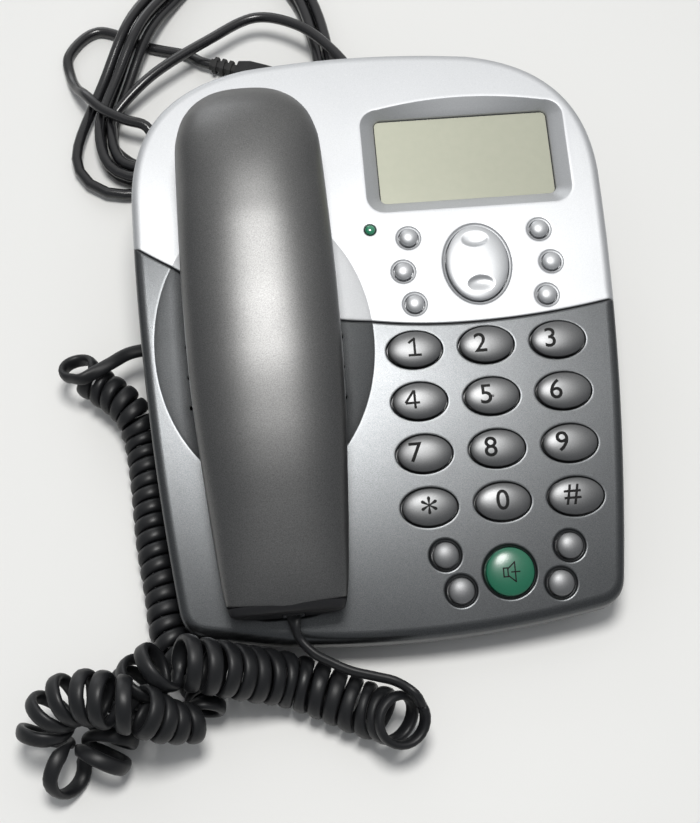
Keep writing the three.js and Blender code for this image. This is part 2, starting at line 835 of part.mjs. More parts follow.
function keyCap(width, height, rise, sides, play) {
  const flangeTop = -WALL - GAP - play;
  const radius = width / 2;
  const flange = radius + FLANGE_MARGIN;
  const profile = [
    [0, flangeTop - FLANGE_THICKNESS],
    [flange, flangeTop - FLANGE_THICKNESS],
    [flange, flangeTop],
    [radius, flangeTop],
    ...KEY_CROWN_SHARES.map(([across, up]) => [radius * across, rise * up]),
    [0, rise],
  ];
  return turned(profile, sides).scale(1, height / width, 1);
}

function keyHole(key) {
  const { width, height, recess, sides } = key.kind;
  const grow = 2 * KEY_CLEARANCE;
  const hole = extruded(ovalShape(width + grow, height + grow), 4 * WALL, sides / 2);
  hole.translate(0, 0, -3 * WALL);
  const place = panelFrame(key.x, key.y);
  const cut = solidOf(hole.applyMatrix4(place));
  if (!recess) return cut;
  const dish = recessDish(width, recess, sides).scale(1, height / width, 1);
  return cut.add(solidOf(dish.applyMatrix4(place)));
}

// The shallow dished ring round a key's hole
function recessDish(width, recess, sides) {
  return turned(
    [
      [0, -RECESS_DISH_DEPTH],
      [width / 2 + KEY_CLEARANCE + GAP, -RECESS_DISH_DEPTH],
      [recess / 2, 0],
      [recess / 2, OVERRUN],
      [0, OVERRUN],
    ],
    sides,
  );
}

// The rocker's recess is dished like the round keys' and its hole follows the key
function rockerHole() {
  const [width, height] = [acrossBase.rockerWidth, alongBase.rockerHeight];
  const grow = 2 * KEY_CLEARANCE;
  const hole = extruded(ovalShape(width + grow, height + grow), 4 * WALL, ROCKER_SIDES / 2);
  hole.translate(0, 0, -3 * WALL);
  const recess = width + 2 * (ROCKER_RECESS_MARGIN + KEY_CLEARANCE);
  const dish = recessDish(width, recess, ROCKER_SIDES).scale(1, height / width, 1);
  const place = panelFrame(acrossBase.keyX, alongBase.rockerY);
  return solidOf(hole.applyMatrix4(place)).add(solidOf(dish.applyMatrix4(place)));
}

function lampHole(clearance) {
  const radius = LAMP_DIAMETER / 2 + clearance;
  const pin = new THREE.CylinderGeometry(radius, radius, 4 * WALL, 10).rotateX(Math.PI / 2);
  return solidOf(pin.applyMatrix4(panelFrame(acrossBase.lampX, alongBase.lampY)));
}

// Side of the groove: everything behind it, or everything in front of it, by half its width
function grooveY(x) {
  const radius = x < acrossBase.grooveX ? GROOVE_RADIUS_LEFT : GROOVE_RADIUS_RIGHT;
  return alongBase.grooveY + radius - Math.sqrt(radius ** 2 - (x - acrossBase.grooveX) ** 2);
}

function coverHalf(side) {
  const reach = BASE_WIDTH / 2 + OVERRUN;
  const points = spread(14).map((t) => {
    const x = reach * (2 * t - 1);
    return new THREE.Vector2(x, grooveY(x) + (side * GROOVE_WIDTH) / 2);
  });
  const far = side * (BASE_LENGTH / 2 + OVERRUN);
  points.push(new THREE.Vector2(reach, far), new THREE.Vector2(-reach, far));
  return solidOf(extruded(new THREE.Shape(points), PANEL_HEIGHT * 2));
}

// Posts under the covers that the board and the housing screws reach
const boardSpan = alongBase.boardLength / 2;
const matDepth = WALL + GAP + FLANGE_THICKNESS + KEY_TRAVEL + GAP + panelSag(boardSpan);
const boardDepth = matDepth + MAT_THICKNESS + GAP;
const screwPlaces = fourPlaces(
  "housing_screw",
  [BASE_WIDTH / 2 - POST_FRONT_SIDE_INSET, POST_FRONT_INSET - BASE_LENGTH / 2],
  [BASE_WIDTH / 2 - POST_REAR_SIDE_INSET, BASE_LENGTH / 2 - POST_REAR_INSET],
);

// Four pieces in two rows, named for the place of each, with a right front and a right rear place given
function fourPlaces(name, [frontX, frontY], [rearX, rearY]) {
  return [
    [`${name}_front_left`, -frontX, frontY],
    [`${name}_front_right`, frontX, frontY],
    [`${name}_rear_left`, -rearX, rearY],
    [`${name}_rear_right`, rearX, rearY],
  ];
}

function cylinder(radius, bottom, top, segments = 8) {
  const rod = new THREE.CylinderGeometry(radius, radius, top - bottom, segments);
  return rod.rotateX(Math.PI / 2).translate(0, 0, (bottom + top) / 2);
}

function seamHeight(y) {
  return panelHeight(y) - SKIRT_DROP;
}

function coverBosses() {
  return screwPlaces.map(([, x, y]) => {
    const boss = solidOf(cylinder(POST_RADIUS, seamHeight(y), panelHeight(y) - WALL / 2).translate(x, y, 0));
    const bottom = seamHeight(y) - OVERRUN;
    const hole = cylinder(SCREW_RADIUS + SCREW_CLEARANCE, bottom, panelHeight(y) - POST_ROOF);
    return [boss, solidOf(hole.translate(x, y, 0))];
  });
}

function boardPosts() {
  const x = acrossBase.boardWidth / 2 - BOARD_POST_INSET;
  const y = boardSpan - BOARD_POST_INSET;
  const place = panelFrame(acrossBase.keyX, alongBase.boardY);
  return [-1, 1].map((side) => {
    const post = cylinder(BOARD_POST_RADIUS, -boardDepth + GAP, -WALL / 2 - panelSag(y));
    return solidOf(post.translate(side * x, -y, 0).applyMatrix4(place));
  });
}

function speakerRing() {
  const outer = SPEAKER_RADIUS + SPEAKER_RING_WALL;
  const bottom = -DISH_DEPTH - WALL - SPEAKER_SEAT;
  const place = panelFrame(acrossBase.dishX, alongBase.speakerY);
  const ring = cylinder(outer, bottom, -DISH_DEPTH - WALL / 2, 10).applyMatrix4(place);
  const bore = cylinder(SPEAKER_RADIUS, bottom - OVERRUN, 0, 10).applyMatrix4(place);
  return solidOf(ring).subtract(solidOf(bore));
}

function buildCovers() {
  const bodyOfCovers = coverBody();
  const [recessWalls, recessCut] = displayRecess();
  const bosses = coverBosses();
  const inner = housingSkin([
    outlineRing(WALL / 2, (y) => panelHeight(y) - SKIRT_DROP * 3),
    outlineRing(WALL / 2, (y) => panelHeight(y) - GAP),
  ]);
  const allowed = solidOf(inner);
  const added = joined([
    dishBowl(WALL),
    earPocket(WALL),
    mouthPocket(WALL),
    recessWalls,
    speakerRing(),
    ...bosses.map(([boss]) => boss),
    ...boardPosts(),
  ]);
  const cuts = joined([
    dishBowl(0),
    earPocket(0),
    mouthPocket(0),
    recessCut,
    rockerHole(),
    lampHole(GAP),
    plungerHole(),
    ...bosses.map(([, hole]) => hole),
    ...soundSlots(),
    ...keys.map(keyHole),
  ]);
  const covers = bodyOfCovers.add(added.intersect(allowed)).subtract(cuts);
  addPiece(phone, "upper_cover", covers.intersect(coverHalf(1)), "silver");
  addPiece(phone, "lower_cover", covers.intersect(coverHalf(-1)), "grey");
}

// Hook plunger in the floor of the ear pocket, pressed down by the handset
function plungerHole() {
  const grow = 2 * KEY_CLEARANCE;
  const hole = extruded(ovalShape(PLUNGER_WIDTH + grow, PLUNGER_LENGTH + grow), 4 * EAR_POCKET_DEPTH, 4);
  hole.translate(0, 0, -3 * EAR_POCKET_DEPTH);
  return solidOf(hole.applyMatrix4(panelFrame(...handsetPlace(alongHandset.plungerY))));
}

function buildPlunger() {
  const floor = -EAR_POCKET_DEPTH;
  const under = floor - WALL - GAP - PLUNGER_RISE;
  const plunger = turned(
    [
      [0, under - FLANGE_THICKNESS],
      [PLUNGER_WIDTH / 2 + FLANGE_MARGIN, under - FLANGE_THICKNESS],
      [PLUNGER_WIDTH / 2 + FLANGE_MARGIN, under],
      [PLUNGER_WIDTH / 2, under],
      [PLUNGER_WIDTH / 2, floor + GAP],
      [0, floor + 2 * GAP],
    ],
    8,
  );
  plunger.scale(1, PLUNGER_LENGTH / PLUNGER_WIDTH, 1);
  addPiece(panelGroup(...handsetPlace(alongHandset.plungerY)), "hook_plunger", plunger, "dark");
}

// Tray: side walls that lean in to a smaller floor, posts for the screws, seats for the feet
function trayRing(inset, z) {
  const narrow = (BASE_WIDTH / 2 - TRAY_SIDE_INSET) / (BASE_WIDTH / 2);
  const front = -BASE_LENGTH / 2 + TRAY_FRONT_INSET;
  const rear = BASE_LENGTH / 2 - TRAY_REAR_INSET;
  return outlineRing(inset, () => z).map((point) => {
    const along = (point.y + BASE_LENGTH / 2) / BASE_LENGTH;
    return new THREE.Vector3(point.x * narrow, THREE.MathUtils.lerp(front, rear, along), z);
  });
}

function leaningWall(point) {
  return new THREE.Vector3(point.x, point.y, seamHeight(point.y) - GAP);
}

function buildTray() {
  const rim = outlineRing(SKIRT_DRAFT + GAP, () => 0).map(leaningWall);
  const rimInside = outlineRing(SKIRT_DRAFT + GAP + WALL, () => 0).map(leaningWall);
  const above = rimInside.map((point) => point.clone().setZ(point.z + OVERRUN));
  const outer = solidOf(housingSkin([trayRing(0, TRAY_FLOOR), rim]));
  const inner = solidOf(housingSkin([trayRing(WALL, TRAY_FLOOR + WALL), rimInside, above]));
  const posts = screwPlaces.map(([, x, y]) =>
    solidOf(cylinder(POST_RADIUS, TRAY_FLOOR + WALL / 2, seamHeight(y) - GAP).translate(x, y, 0)),
  );
  const holes = screwPlaces.flatMap(([, x, y]) => {
    const web = seamHeight(y) - GAP - POST_WEB;
    const wide = cylinder(SCREW_HEAD_RADIUS + SCREW_CLEARANCE, TRAY_FLOOR - OVERRUN, web);
    const narrow = cylinder(SCREW_RADIUS + SCREW_CLEARANCE, web - OVERRUN, seamHeight(y) + OVERRUN);
    return [wide, narrow].map((hole) => solidOf(hole.translate(x, y, 0)));
  });
  const seats = footPlaces().map(([, x, y]) =>
    solidOf(cylinder(FOOT_RADIUS + 2 * GAP, TRAY_FLOOR - OVERRUN, FOOT_HEIGHT + GAP, 10).translate(x, y, 0)),
  );
  const shell = outer.subtract(inner).add(joined(posts).intersect(outer));
  const tray = shell.subtract(joined([...holes, ...seats, basePlugHole(), glandHole()]));
  addPiece(phone, "base_tray", tray, "dark");
}

function footPlaces() {
  const x = BASE_WIDTH / 2 - FOOT_SIDE_INSET;
  const front = FOOT_FRONT_INSET - BASE_LENGTH / 2;
  return fourPlaces("foot", [x, front], [x, BASE_LENGTH / 2 - FOOT_REAR_INSET]);
}

function buildFeetAndScrews() {
  const chamfer = FOOT_SEAT_DEPTH / 2;
  for (const [name, x, y] of footPlaces()) {
    const foot = turned(
      [
        [0, 0],
        [FOOT_RADIUS - chamfer, 0],
        [FOOT_RADIUS, chamfer],
        [FOOT_RADIUS, FOOT_HEIGHT],
        [0, FOOT_HEIGHT],
      ],
      10,
    );
    addPiece(phone, name, foot.translate(x, y, 0), "rubber");
  }
  for (const [name, x, y] of screwPlaces) {
    const head = seamHeight(y) - GAP - POST_WEB - GAP;
    const screw = turned(
      [
        [0, -SCREW_HEAD_HEIGHT],
        [SCREW_HEAD_RADIUS, -SCREW_HEAD_HEIGHT],
        [SCREW_HEAD_RADIUS, 0],
        [SCREW_RADIUS, 0],
        [SCREW_RADIUS, SCREW_LENGTH - SCREW_HEAD_HEIGHT - SCREW_RADIUS],
        [0, SCREW_LENGTH - SCREW_HEAD_HEIGHT],
      ],
      6,
    );
    const reach = panelHeight(y) - POST_ROOF - GAP - head;
    screw.scale(1, 1, Math.min(1, reach / (SCREW_LENGTH - SCREW_HEAD_HEIGHT)));
    addPiece(phone, name, screw.translate(x, y, head), "steel");
  }
}

// Keys, rocker and lamp in their holes
function buildKeys() {
  for (const key of keys) {
    const { width, height, rise, sides, paint } = key.kind;
    addPiece(panelGroup(key.x, key.y), key.name, keyCap(width, height, rise, sides, 0), paint);
  }
  const [width, height] = [acrossBase.rockerWidth, alongBase.rockerHeight];
  const rocker = keyCap(width, height, ROCKER_RISE, ROCKER_SIDES, ROCKER_PLAY);
  addPiece(panelGroup(acrossBase.keyX, alongBase.rockerY), "rocker_key", rocker, "silver");
  const lamp = turned(
    [
      [0, -2 * WALL],
      [LAMP_DIAMETER / 2, -2 * WALL],
      [LAMP_DIAMETER / 2, 0],
      [LAMP_DIAMETER / 4, LAMP_DIAMETER / 6],
      [0, LAMP_DIAMETER / 4],
    ],
    10,
  );
  addPiece(panelGroup(acrossBase.lampX, alongBase.lampY), "lamp_lens", lamp, "green");
}

// Display window and module under the recess, mat and board under the keys, loudspeaker under the dish
function buildInside() {
  const screen = panelGroup(acrossBase.screenX, alongBase.screenY);
  const lensTop = -RECESS_DEPTH - RECESS_WALL - GAP;
  const lens = extruded(
    roundedShape(acrossBase.screenWidth + LENS_MARGIN, alongBase.screenHeight + LENS_MARGIN, SCREEN_CORNER),
    LENS_THICKNESS,
    3,
  );
  addPiece(screen, "display_lens", lens.translate(0, 0, lensTop - LENS_THICKNESS), "lens");
  const moduleWidth = acrossBase.screenWidth + 2 * LENS_MARGIN;
  const module = box(moduleWidth, alongBase.screenHeight + LENS_MARGIN, MODULE_THICKNESS);
  module.translate(0, 0, lensTop - LENS_THICKNESS - GAP - MODULE_THICKNESS);
  addPiece(screen, "display_module", module, "dark");

  const plates = panelGroup(acrossBase.keyX, alongBase.boardY);
  const inset = 2 * (BOARD_POST_INSET + BOARD_POST_RADIUS + GAP);
  const mat = box(acrossBase.boardWidth, alongBase.boardLength - inset, MAT_THICKNESS);
  addPiece(plates, "key_mat", mat.translate(0, 0, -matDepth - MAT_THICKNESS), "rubber");
  const board = box(acrossBase.boardWidth, alongBase.boardLength, BOARD_THICKNESS);
  addPiece(plates, "main_board", board.translate(0, 0, -boardDepth - BOARD_THICKNESS), "board");

  const seat = -DISH_DEPTH - WALL - SPEAKER_SEAT - GAP;
  const profile = LOUDSPEAKER_SHARES.map(([across, down]) => [
    SPEAKER_RADIUS * across,
    seat - SPEAKER_DEPTH * down,
  ]);
  const speaker = turned(profile, 12);
  addPiece(panelGroup(acrossBase.dishX, alongBase.speakerY), "loudspeaker", speaker, "steel");
}


function power(value, exponent) {
  return Math.sign(value) * Math.abs(value) ** exponent;
}

function handsetLoft(margin, points, shares) {
  const reach = alongBase.handsetLength / 2 - margin;
  const rings = shares.map(([place, width, top, widest, under]) => {
    const halfWidth = (width * HANDSET_WIDTH) / 2 - margin;
    const middle = widest * HANDSET_HEIGHT;
    const up = top * HANDSET_HEIGHT - margin - middle;
    const down = middle - (under * HANDSET_HEIGHT + margin);
    return Array.from({ length: points }, (_, i) => {
      const angle = (2 * Math.PI * i) / points;
      const exponent = 2 / (Math.sin(angle) >= 0 ? HANDSET_TOP_POWER : HANDSET_UNDER_POWER);
      const rise = power(Math.sin(angle), exponent) * (Math.sin(angle) >= 0 ? up : down);
      return new THREE.Vector3(-power(Math.cos(angle), exponent) * halfWidth, reach * place, middle + rise);
    });
  });
  return solidOf(skin(rings));
}

// Everything above or below the line where the handset's shells part
function partingBlock(side) {
  const points = HANDSET_SHARES.map(
    ([place, , , widest]) =>
      new THREE.Vector2(
        (place * alongBase.handsetLength) / 2,
        widest * HANDSET_HEIGHT - PARTING_DROP + (side * GAP) / 2,
      ),
  );
  points[0].x -= OVERRUN;
  points[points.length - 1].x += OVERRUN;
  const far = side * HANDSET_HEIGHT * 1.5;
  points.push(new THREE.Vector2(points[points.length - 1].x, far), new THREE.Vector2(points[0].x, far));
  const block = extruded(new THREE.Shape(points), 2 * HANDSET_WIDTH);
  const turn = new THREE.Matrix4().makeBasis(Y_AXIS, Z_AXIS, X_AXIS);
  return solidOf(block.applyMatrix4(turn).translate(-HANDSET_WIDTH, 0, 0));
}

function plugHole(length) {
  const grow = 2 * GAP;
  return box(PLUG_WIDTH + grow, length, PLUG_HEIGHT + grow).translate(0, 0, -(PLUG_HEIGHT + grow) / 2);
}

function buildHandset() {
  const handset = panelGroup(acrossBase.handsetX, alongBase.handsetY, HANDSET_TURN, handsetLift);
  const front = -alongBase.handsetLength / 2;
  const inside = HANDSET_SHARES.filter((_, i) => ![0, 2, 4, 7, 10, 16, 18, 19].includes(i));
  const inner = handsetLoft(HANDSET_WALL, HANDSET_INSIDE_SIDES, inside);
  let shell = handsetLoft(0, HANDSET_SIDES, HANDSET_SHARES).subtract(inner);
  const entry = plugHole(2 * PLUG_LENGTH).translate(HANDSET_PLUG_X, front, HANDSET_PLUG_Z);
  const ring = Array.from({ length: SOUND_HOLES }, (_, i) => {
    const angle = (2 * i * Math.PI) / SOUND_HOLES;
    const up = alongHandset.earCapsuleY + SOUND_HOLE_CIRCLE * Math.sin(angle);
    return [SOUND_HOLE_CIRCLE * Math.cos(angle), up];
  });
  ring.push([0, alongHandset.earCapsuleY], [0, alongHandset.mouthCapsuleY]);
  const soundHoles = ring.map(([x, y]) =>
    solidOf(cylinder(SOUND_HOLE_RADIUS, -HANDSET_HEIGHT / 2, HANDSET_WALL, 8).translate(x, y, 0)),
  );
  shell = shell.subtract(joined([solidOf(entry), ...soundHoles]));
  addPiece(handset, "handset_top_shell", shell.intersect(partingBlock(1)), "grey");
  addPiece(handset, "handset_bottom_shell", shell.intersect(partingBlock(-1)), "dark");

  const ear = cylinder(alongHandset.earCapsuleRadius, 0, EAR_CAPSULE_HEIGHT, 16);
  ear.translate(0, alongHandset.earCapsuleY, EAR_CAPSULE_FLOOR_SHARE * HANDSET_HEIGHT);
  addPiece(handset, "earpiece_capsule", ear, "steel");
  const mouth = cylinder(alongHandset.mouthCapsuleRadius, 0, MOUTH_CAPSULE_HEIGHT, 10);
  mouth.translate(0, alongHandset.mouthCapsuleY, MOUTH_CAPSULE_FLOOR_SHARE * HANDSET_HEIGHT);
  addPiece(handset, "microphone_capsule", mouth, "steel");
  const weight = box(WEIGHT_WIDTH, alongHandset.weightLength, WEIGHT_HEIGHT);
  weight.translate(0, 0, WEIGHT_FLOOR_SHARE * HANDSET_HEIGHT);
  addPiece(handset, "handset_weight", weight, "steel");

  const plug = box(PLUG_WIDTH, PLUG_LENGTH, PLUG_HEIGHT).translate(0, PLUG_LENGTH / 2, -PLUG_HEIGHT / 2);
  plug.translate(HANDSET_PLUG_X, front - GAP, HANDSET_PLUG_Z);
  addPiece(handset, "handset_cord_plug", plug, "clear");
  const socket = socketBlock(PLUG_LENGTH - GAP - HANDSET_SOCKET_START);
  socket.translate(HANDSET_PLUG_X, front + HANDSET_SOCKET_START, HANDSET_PLUG_Z);
  addPiece(handset, "handset_socket", socket, "dark");
}

// A socket block round the hidden part of a plug: its mouth is at the origin and it runs along +Y
function socketBlock(inside) {
  const width = PLUG_WIDTH + 2 * (GAP + SOCKET_WALL);
  const height = PLUG_HEIGHT + 2 * (GAP + SOCKET_ROOF);
  const length = inside + GAP + SOCKET_BACK;
  const block = solidOf(box(width, length, height).translate(0, length / 2, -height / 2));
  return geometryOf(block.subtract(solidOf(plugHole(2 * (inside + GAP)))));
}

// Where the leaning left wall of the tray stands at the base plug's height
function trayWallX() {
  const bottom = sideX(alongBase.basePlugY) * (1 - TRAY_SIDE_INSET / (BASE_WIDTH / 2));
  const top = sideX(alongBase.basePlugY) - SKIRT_DRAFT - GAP;
  const share = (BASE_PLUG_Z - TRAY_FLOOR) / (seamHeight(alongBase.basePlugY) - GAP - TRAY_FLOOR);
  return THREE.MathUtils.lerp(bottom, top, share);
}

function trayRearY() {
  const share = (GLAND_Z - TRAY_FLOOR) / (seamHeight(BASE_LENGTH / 2) - TRAY_FLOOR);
  const rear = rearY(acrossBase.glandX);
  return THREE.MathUtils.lerp(rear - TRAY_REAR_INSET, rear - SKIRT_DRAFT, share);
}

function basePlugHole() {
  const hole = plugHole(6 * WALL).rotateZ(Math.PI / 2);
  return solidOf(hole.translate(-trayWallX(), alongBase.basePlugY, BASE_PLUG_Z));
}

function glandHole() {
  const hole = new THREE.CylinderGeometry(GLAND_RADIUS, GLAND_RADIUS, 6 * WALL, 10);
  return solidOf(hole.translate(acrossBase.glandX, trayRearY(), GLAND_Z));
}

function buildBasePlugs() {
  const wall = -trayWallX();
  const inner = wall + 2 * WALL;
  const plug = box(PLUG_LENGTH, PLUG_WIDTH, PLUG_HEIGHT).translate(0, 0, -PLUG_HEIGHT / 2);
  plug.translate(inner + BASE_PLUG_INSIDE - PLUG_LENGTH / 2, alongBase.basePlugY, BASE_PLUG_Z);
  addPiece(phone, "base_cord_plug", plug, "clear");
  const socket = socketBlock(BASE_PLUG_INSIDE).rotateZ(-Math.PI / 2);
  addPiece(phone, "base_socket", socket.translate(inner, alongBase.basePlugY, BASE_PLUG_Z), "dark");

  const neck = GLAND_RADIUS - GAP;
  const collar = GLAND_RADIUS + GLAND_COLLAR_MARGIN;
  const gland = turned(
    [
      [0, -WALL * 3],
      [neck, -WALL * 3],
      [neck, WALL],
      [collar, WALL],
      [collar, WALL + GLAND_COLLAR_LENGTH],
      [neck, WALL + GLAND_COLLAR_LENGTH],
      [neck, WALL + GLAND_COLLAR_LENGTH + GAP],
      [CABLE_DIAMETER / 2 + GLAND_LIP, GLAND_LENGTH],
      [0, GLAND_LENGTH],
    ],
    10,
  );
  gland.rotateX(-Math.PI / 2);
  addPiece(phone, "cable_gland", gland.translate(acrossBase.glandX, trayRearY(), GLAND_Z), "rubber");
}

// A tube through rings, each with its centre, its direction, the way its width lies, its width and thickness
function tube(rings, sides) {
  return skin(
    rings.map(({ point, along, wide, width, thickness }) => {
      const thin = new THREE.Vector3().crossVectors(along, wide).normalize();
      const flat = new THREE.Vector3().crossVectors(thin, along).normalize();
      return Array.from({ length: sides }, (_, i) => {
        const angle = (2 * Math.PI * i) / sides;
        const across = flat.clone().multiplyScalar((Math.cos(angle) * width) / 2);
        return across.addScaledVector(thin, (Math.sin(angle) * thickness) / 2).add(point);
      });
    }),
  );
}

function vectors(places) {
  return places.map(([x, y, z]) => new THREE.Vector3(x, y, z));
}

function smoothCurve(points) {
  const curve = new THREE.CatmullRomCurve3(points, false, "centripetal");
  curve.arcLengthDivisions = 2000;
  return curve;
}

// Rings at even steps along a route, with the width turning from one side to the other on the way
function routeRings(curve, steps, wideStart, wideEnd, width, thickness) {
  return spread(steps + 1).map((t) => {
    const turn = THREE.MathUtils.smoothstep(t, 0, TWIST_SHARE);
    return {
      point: curve.getPointAt(t),
      along: curve.getTangentAt(t),
      wide: wideStart.clone().lerp(wideEnd, turn),
      width,
      thickness,
    };
  });
}

// The least distance between stretches of a tube that are more than a few rings apart, on its surface points
function leastGap(rings, sides, apart) {
  const points = rings.map(({ point, along, wide, width, thickness }) => {
    const thin = new THREE.Vector3().crossVectors(along, wide).normalize();
    const flat = new THREE.Vector3().crossVectors(thin, along).normalize();
    return Array.from({ length: 2 * sides }, (_, i) => {
      const angle = (Math.PI * i) / sides;
      const across = flat.clone().multiplyScalar((Math.cos(angle) * width) / 2);
      return across.addScaledVector(thin, (Math.sin(angle) * thickness) / 2).add(point);
    });
  });
  let least = Infinity;
  for (let i = 0; i < rings.length; i += 1) {
    for (let j = i + apart; j < rings.length; j += 1) {
      const centres = rings[i].point.distanceTo(rings[j].point);
      if (centres - rings[i].width > least) continue;
      for (const a of points[i]) for (const b of points[j]) least = Math.min(least, a.distanceTo(b));
    }
  }
  return least;
}

// The curls: a helix about the axis, whose pitch grows where the axis bends so that the turns stay clear of
// each other on the inside of the bend, where the soft cord is also squeezed narrower.
function curlRings() {
  const axis = smoothCurve(vectors(CURL_AXIS));
  const length = axis.getLength();
  const steps = Math.round(length / CURL_STRIDE);
  const directionAt = (t) => axis.getTangentAt(THREE.MathUtils.clamp(t, 0, 1));
  const window = BEND_WINDOW / length;
  const rings = [];
  let turns = CURL_START_TURN;
  let due = turns;
  for (const t of spread(steps)) {
    const along = directionAt(t);
    const bend = directionAt(t + window).sub(directionAt(t - window)).divideScalar(2 * BEND_WINDOW);
    const slim = THREE.MathUtils.smoothstep(t * length, CURL_SLIM_START, CURL_SLIM_END);
    const radius = THREE.MathUtils.lerp(CURL_RADIUS, CURL_SLIM_RADIUS, slim);
    const outside = radius + CORD_THICKNESS / 2;
    const inner = Math.max(1 - outside * bend.length(), LEAST_INNER_SHARE);
    const pitch = Math.max(THREE.MathUtils.lerp(CURL_PITCH, CURL_SLIM_PITCH, slim), SQUEEZED_PITCH / inner);
    turns += length / steps / pitch;
    if (turns < due) continue;
    const out = new THREE.Vector3(-along.y, along.x, 0).normalize();
    const up = new THREE.Vector3().crossVectors(along, out);
    const angle = 2 * Math.PI * due;
    const spoke = out.multiplyScalar(Math.cos(angle)).addScaledVector(up, Math.sin(angle));
    const spacing = pitch * (1 - outside * spoke.dot(bend));
    rings.push({
      turn: due % 1,
      point: axis.getPointAt(t).addScaledVector(spoke, radius),
      wide: along,
      width: THREE.MathUtils.clamp(spacing - CURL_CLEARANCE, CORD_SQUEEZED_WIDTH, CORD_WIDTH),
      thickness: CORD_THICKNESS,
    });
    due += 1 / CURL_STEPS;
  }
  while (Math.abs(rings[rings.length - 1].turn - CURL_END_TURN) > 0.5 / CURL_STEPS) rings.pop();
  rings.forEach((ring, i) => {
    const before = rings[Math.max(i - 1, 0)].point;
    const after = rings[Math.min(i + 1, rings.length - 1)].point;
    ring.along = after.clone().sub(before).normalize();
  });
  for (const [end, side] of [
    [0, -1],
    [rings.length - 1, 1],
  ]) {
    const ring = rings[end];
    const point = ring.point.clone().addScaledVector(ring.along, side * CURL_END_STRAIGHT);
    const straight = { ...ring, point };
    if (side < 0) rings.unshift(straight);
    else rings.push(straight);
  }
  return rings;
}

function buildHandsetCord() {
  const curls = curlRings();
  console.log("least gap of the curls:", leastGap(curls, CURL_SIDES, RINGS_APART));
  const first = curls[0];
  const last = curls[curls.length - 1];
  const plugFace = new THREE.Vector3(HANDSET_PLUG_X, -alongBase.handsetLength / 2 - 2 * GAP, HANDSET_PLUG_Z);
  const start = plugFace.applyMatrix4(handsetFrame);
  const outwards = Y_AXIS.clone().negate().transformDirection(handsetFrame);
  const leadEnd = first.point.clone().addScaledVector(first.along, -GAP);
  const leadCurve = smoothCurve([
    start,
    start.clone().addScaledVector(outwards, CORD_THICKNESS),
    ...vectors(LEAD_ROUTE),
    leadEnd.clone().addScaledVector(first.along, -CORD_WIDTH),
    leadEnd,
  ]);
  const lead = routeRings(leadCurve, LEAD_STEPS, X_AXIS, Z_AXIS, CORD_WIDTH, CORD_THICKNESS);
  lead[lead.length - 1].wide = first.wide;
  addPiece(phone, "handset_cord_lead", tube(lead, 8), "cord");
  addPiece(phone, "handset_cord_curls", tube(curls, CURL_SIDES), "cord");

  const tailStart = last.point.clone().addScaledVector(last.along, GAP);
  const tailEnd = new THREE.Vector3(basePlugEnd() - GAP, alongBase.basePlugY, BASE_PLUG_Z);
  const tailCurve = smoothCurve([
    tailStart,
    tailStart.clone().addScaledVector(last.along, CORD_WIDTH),
    ...vectors(TAIL_ROUTE),
    tailEnd.clone().addScaledVector(X_AXIS, -CORD_THICKNESS),
    tailEnd,
  ]);
  const tail = routeRings(tailCurve, TAIL_STEPS, last.wide, Y_AXIS, CORD_WIDTH, CORD_THICKNESS);
  addPiece(phone, "handset_cord_tail", tube(tail, 8), "cord");
}

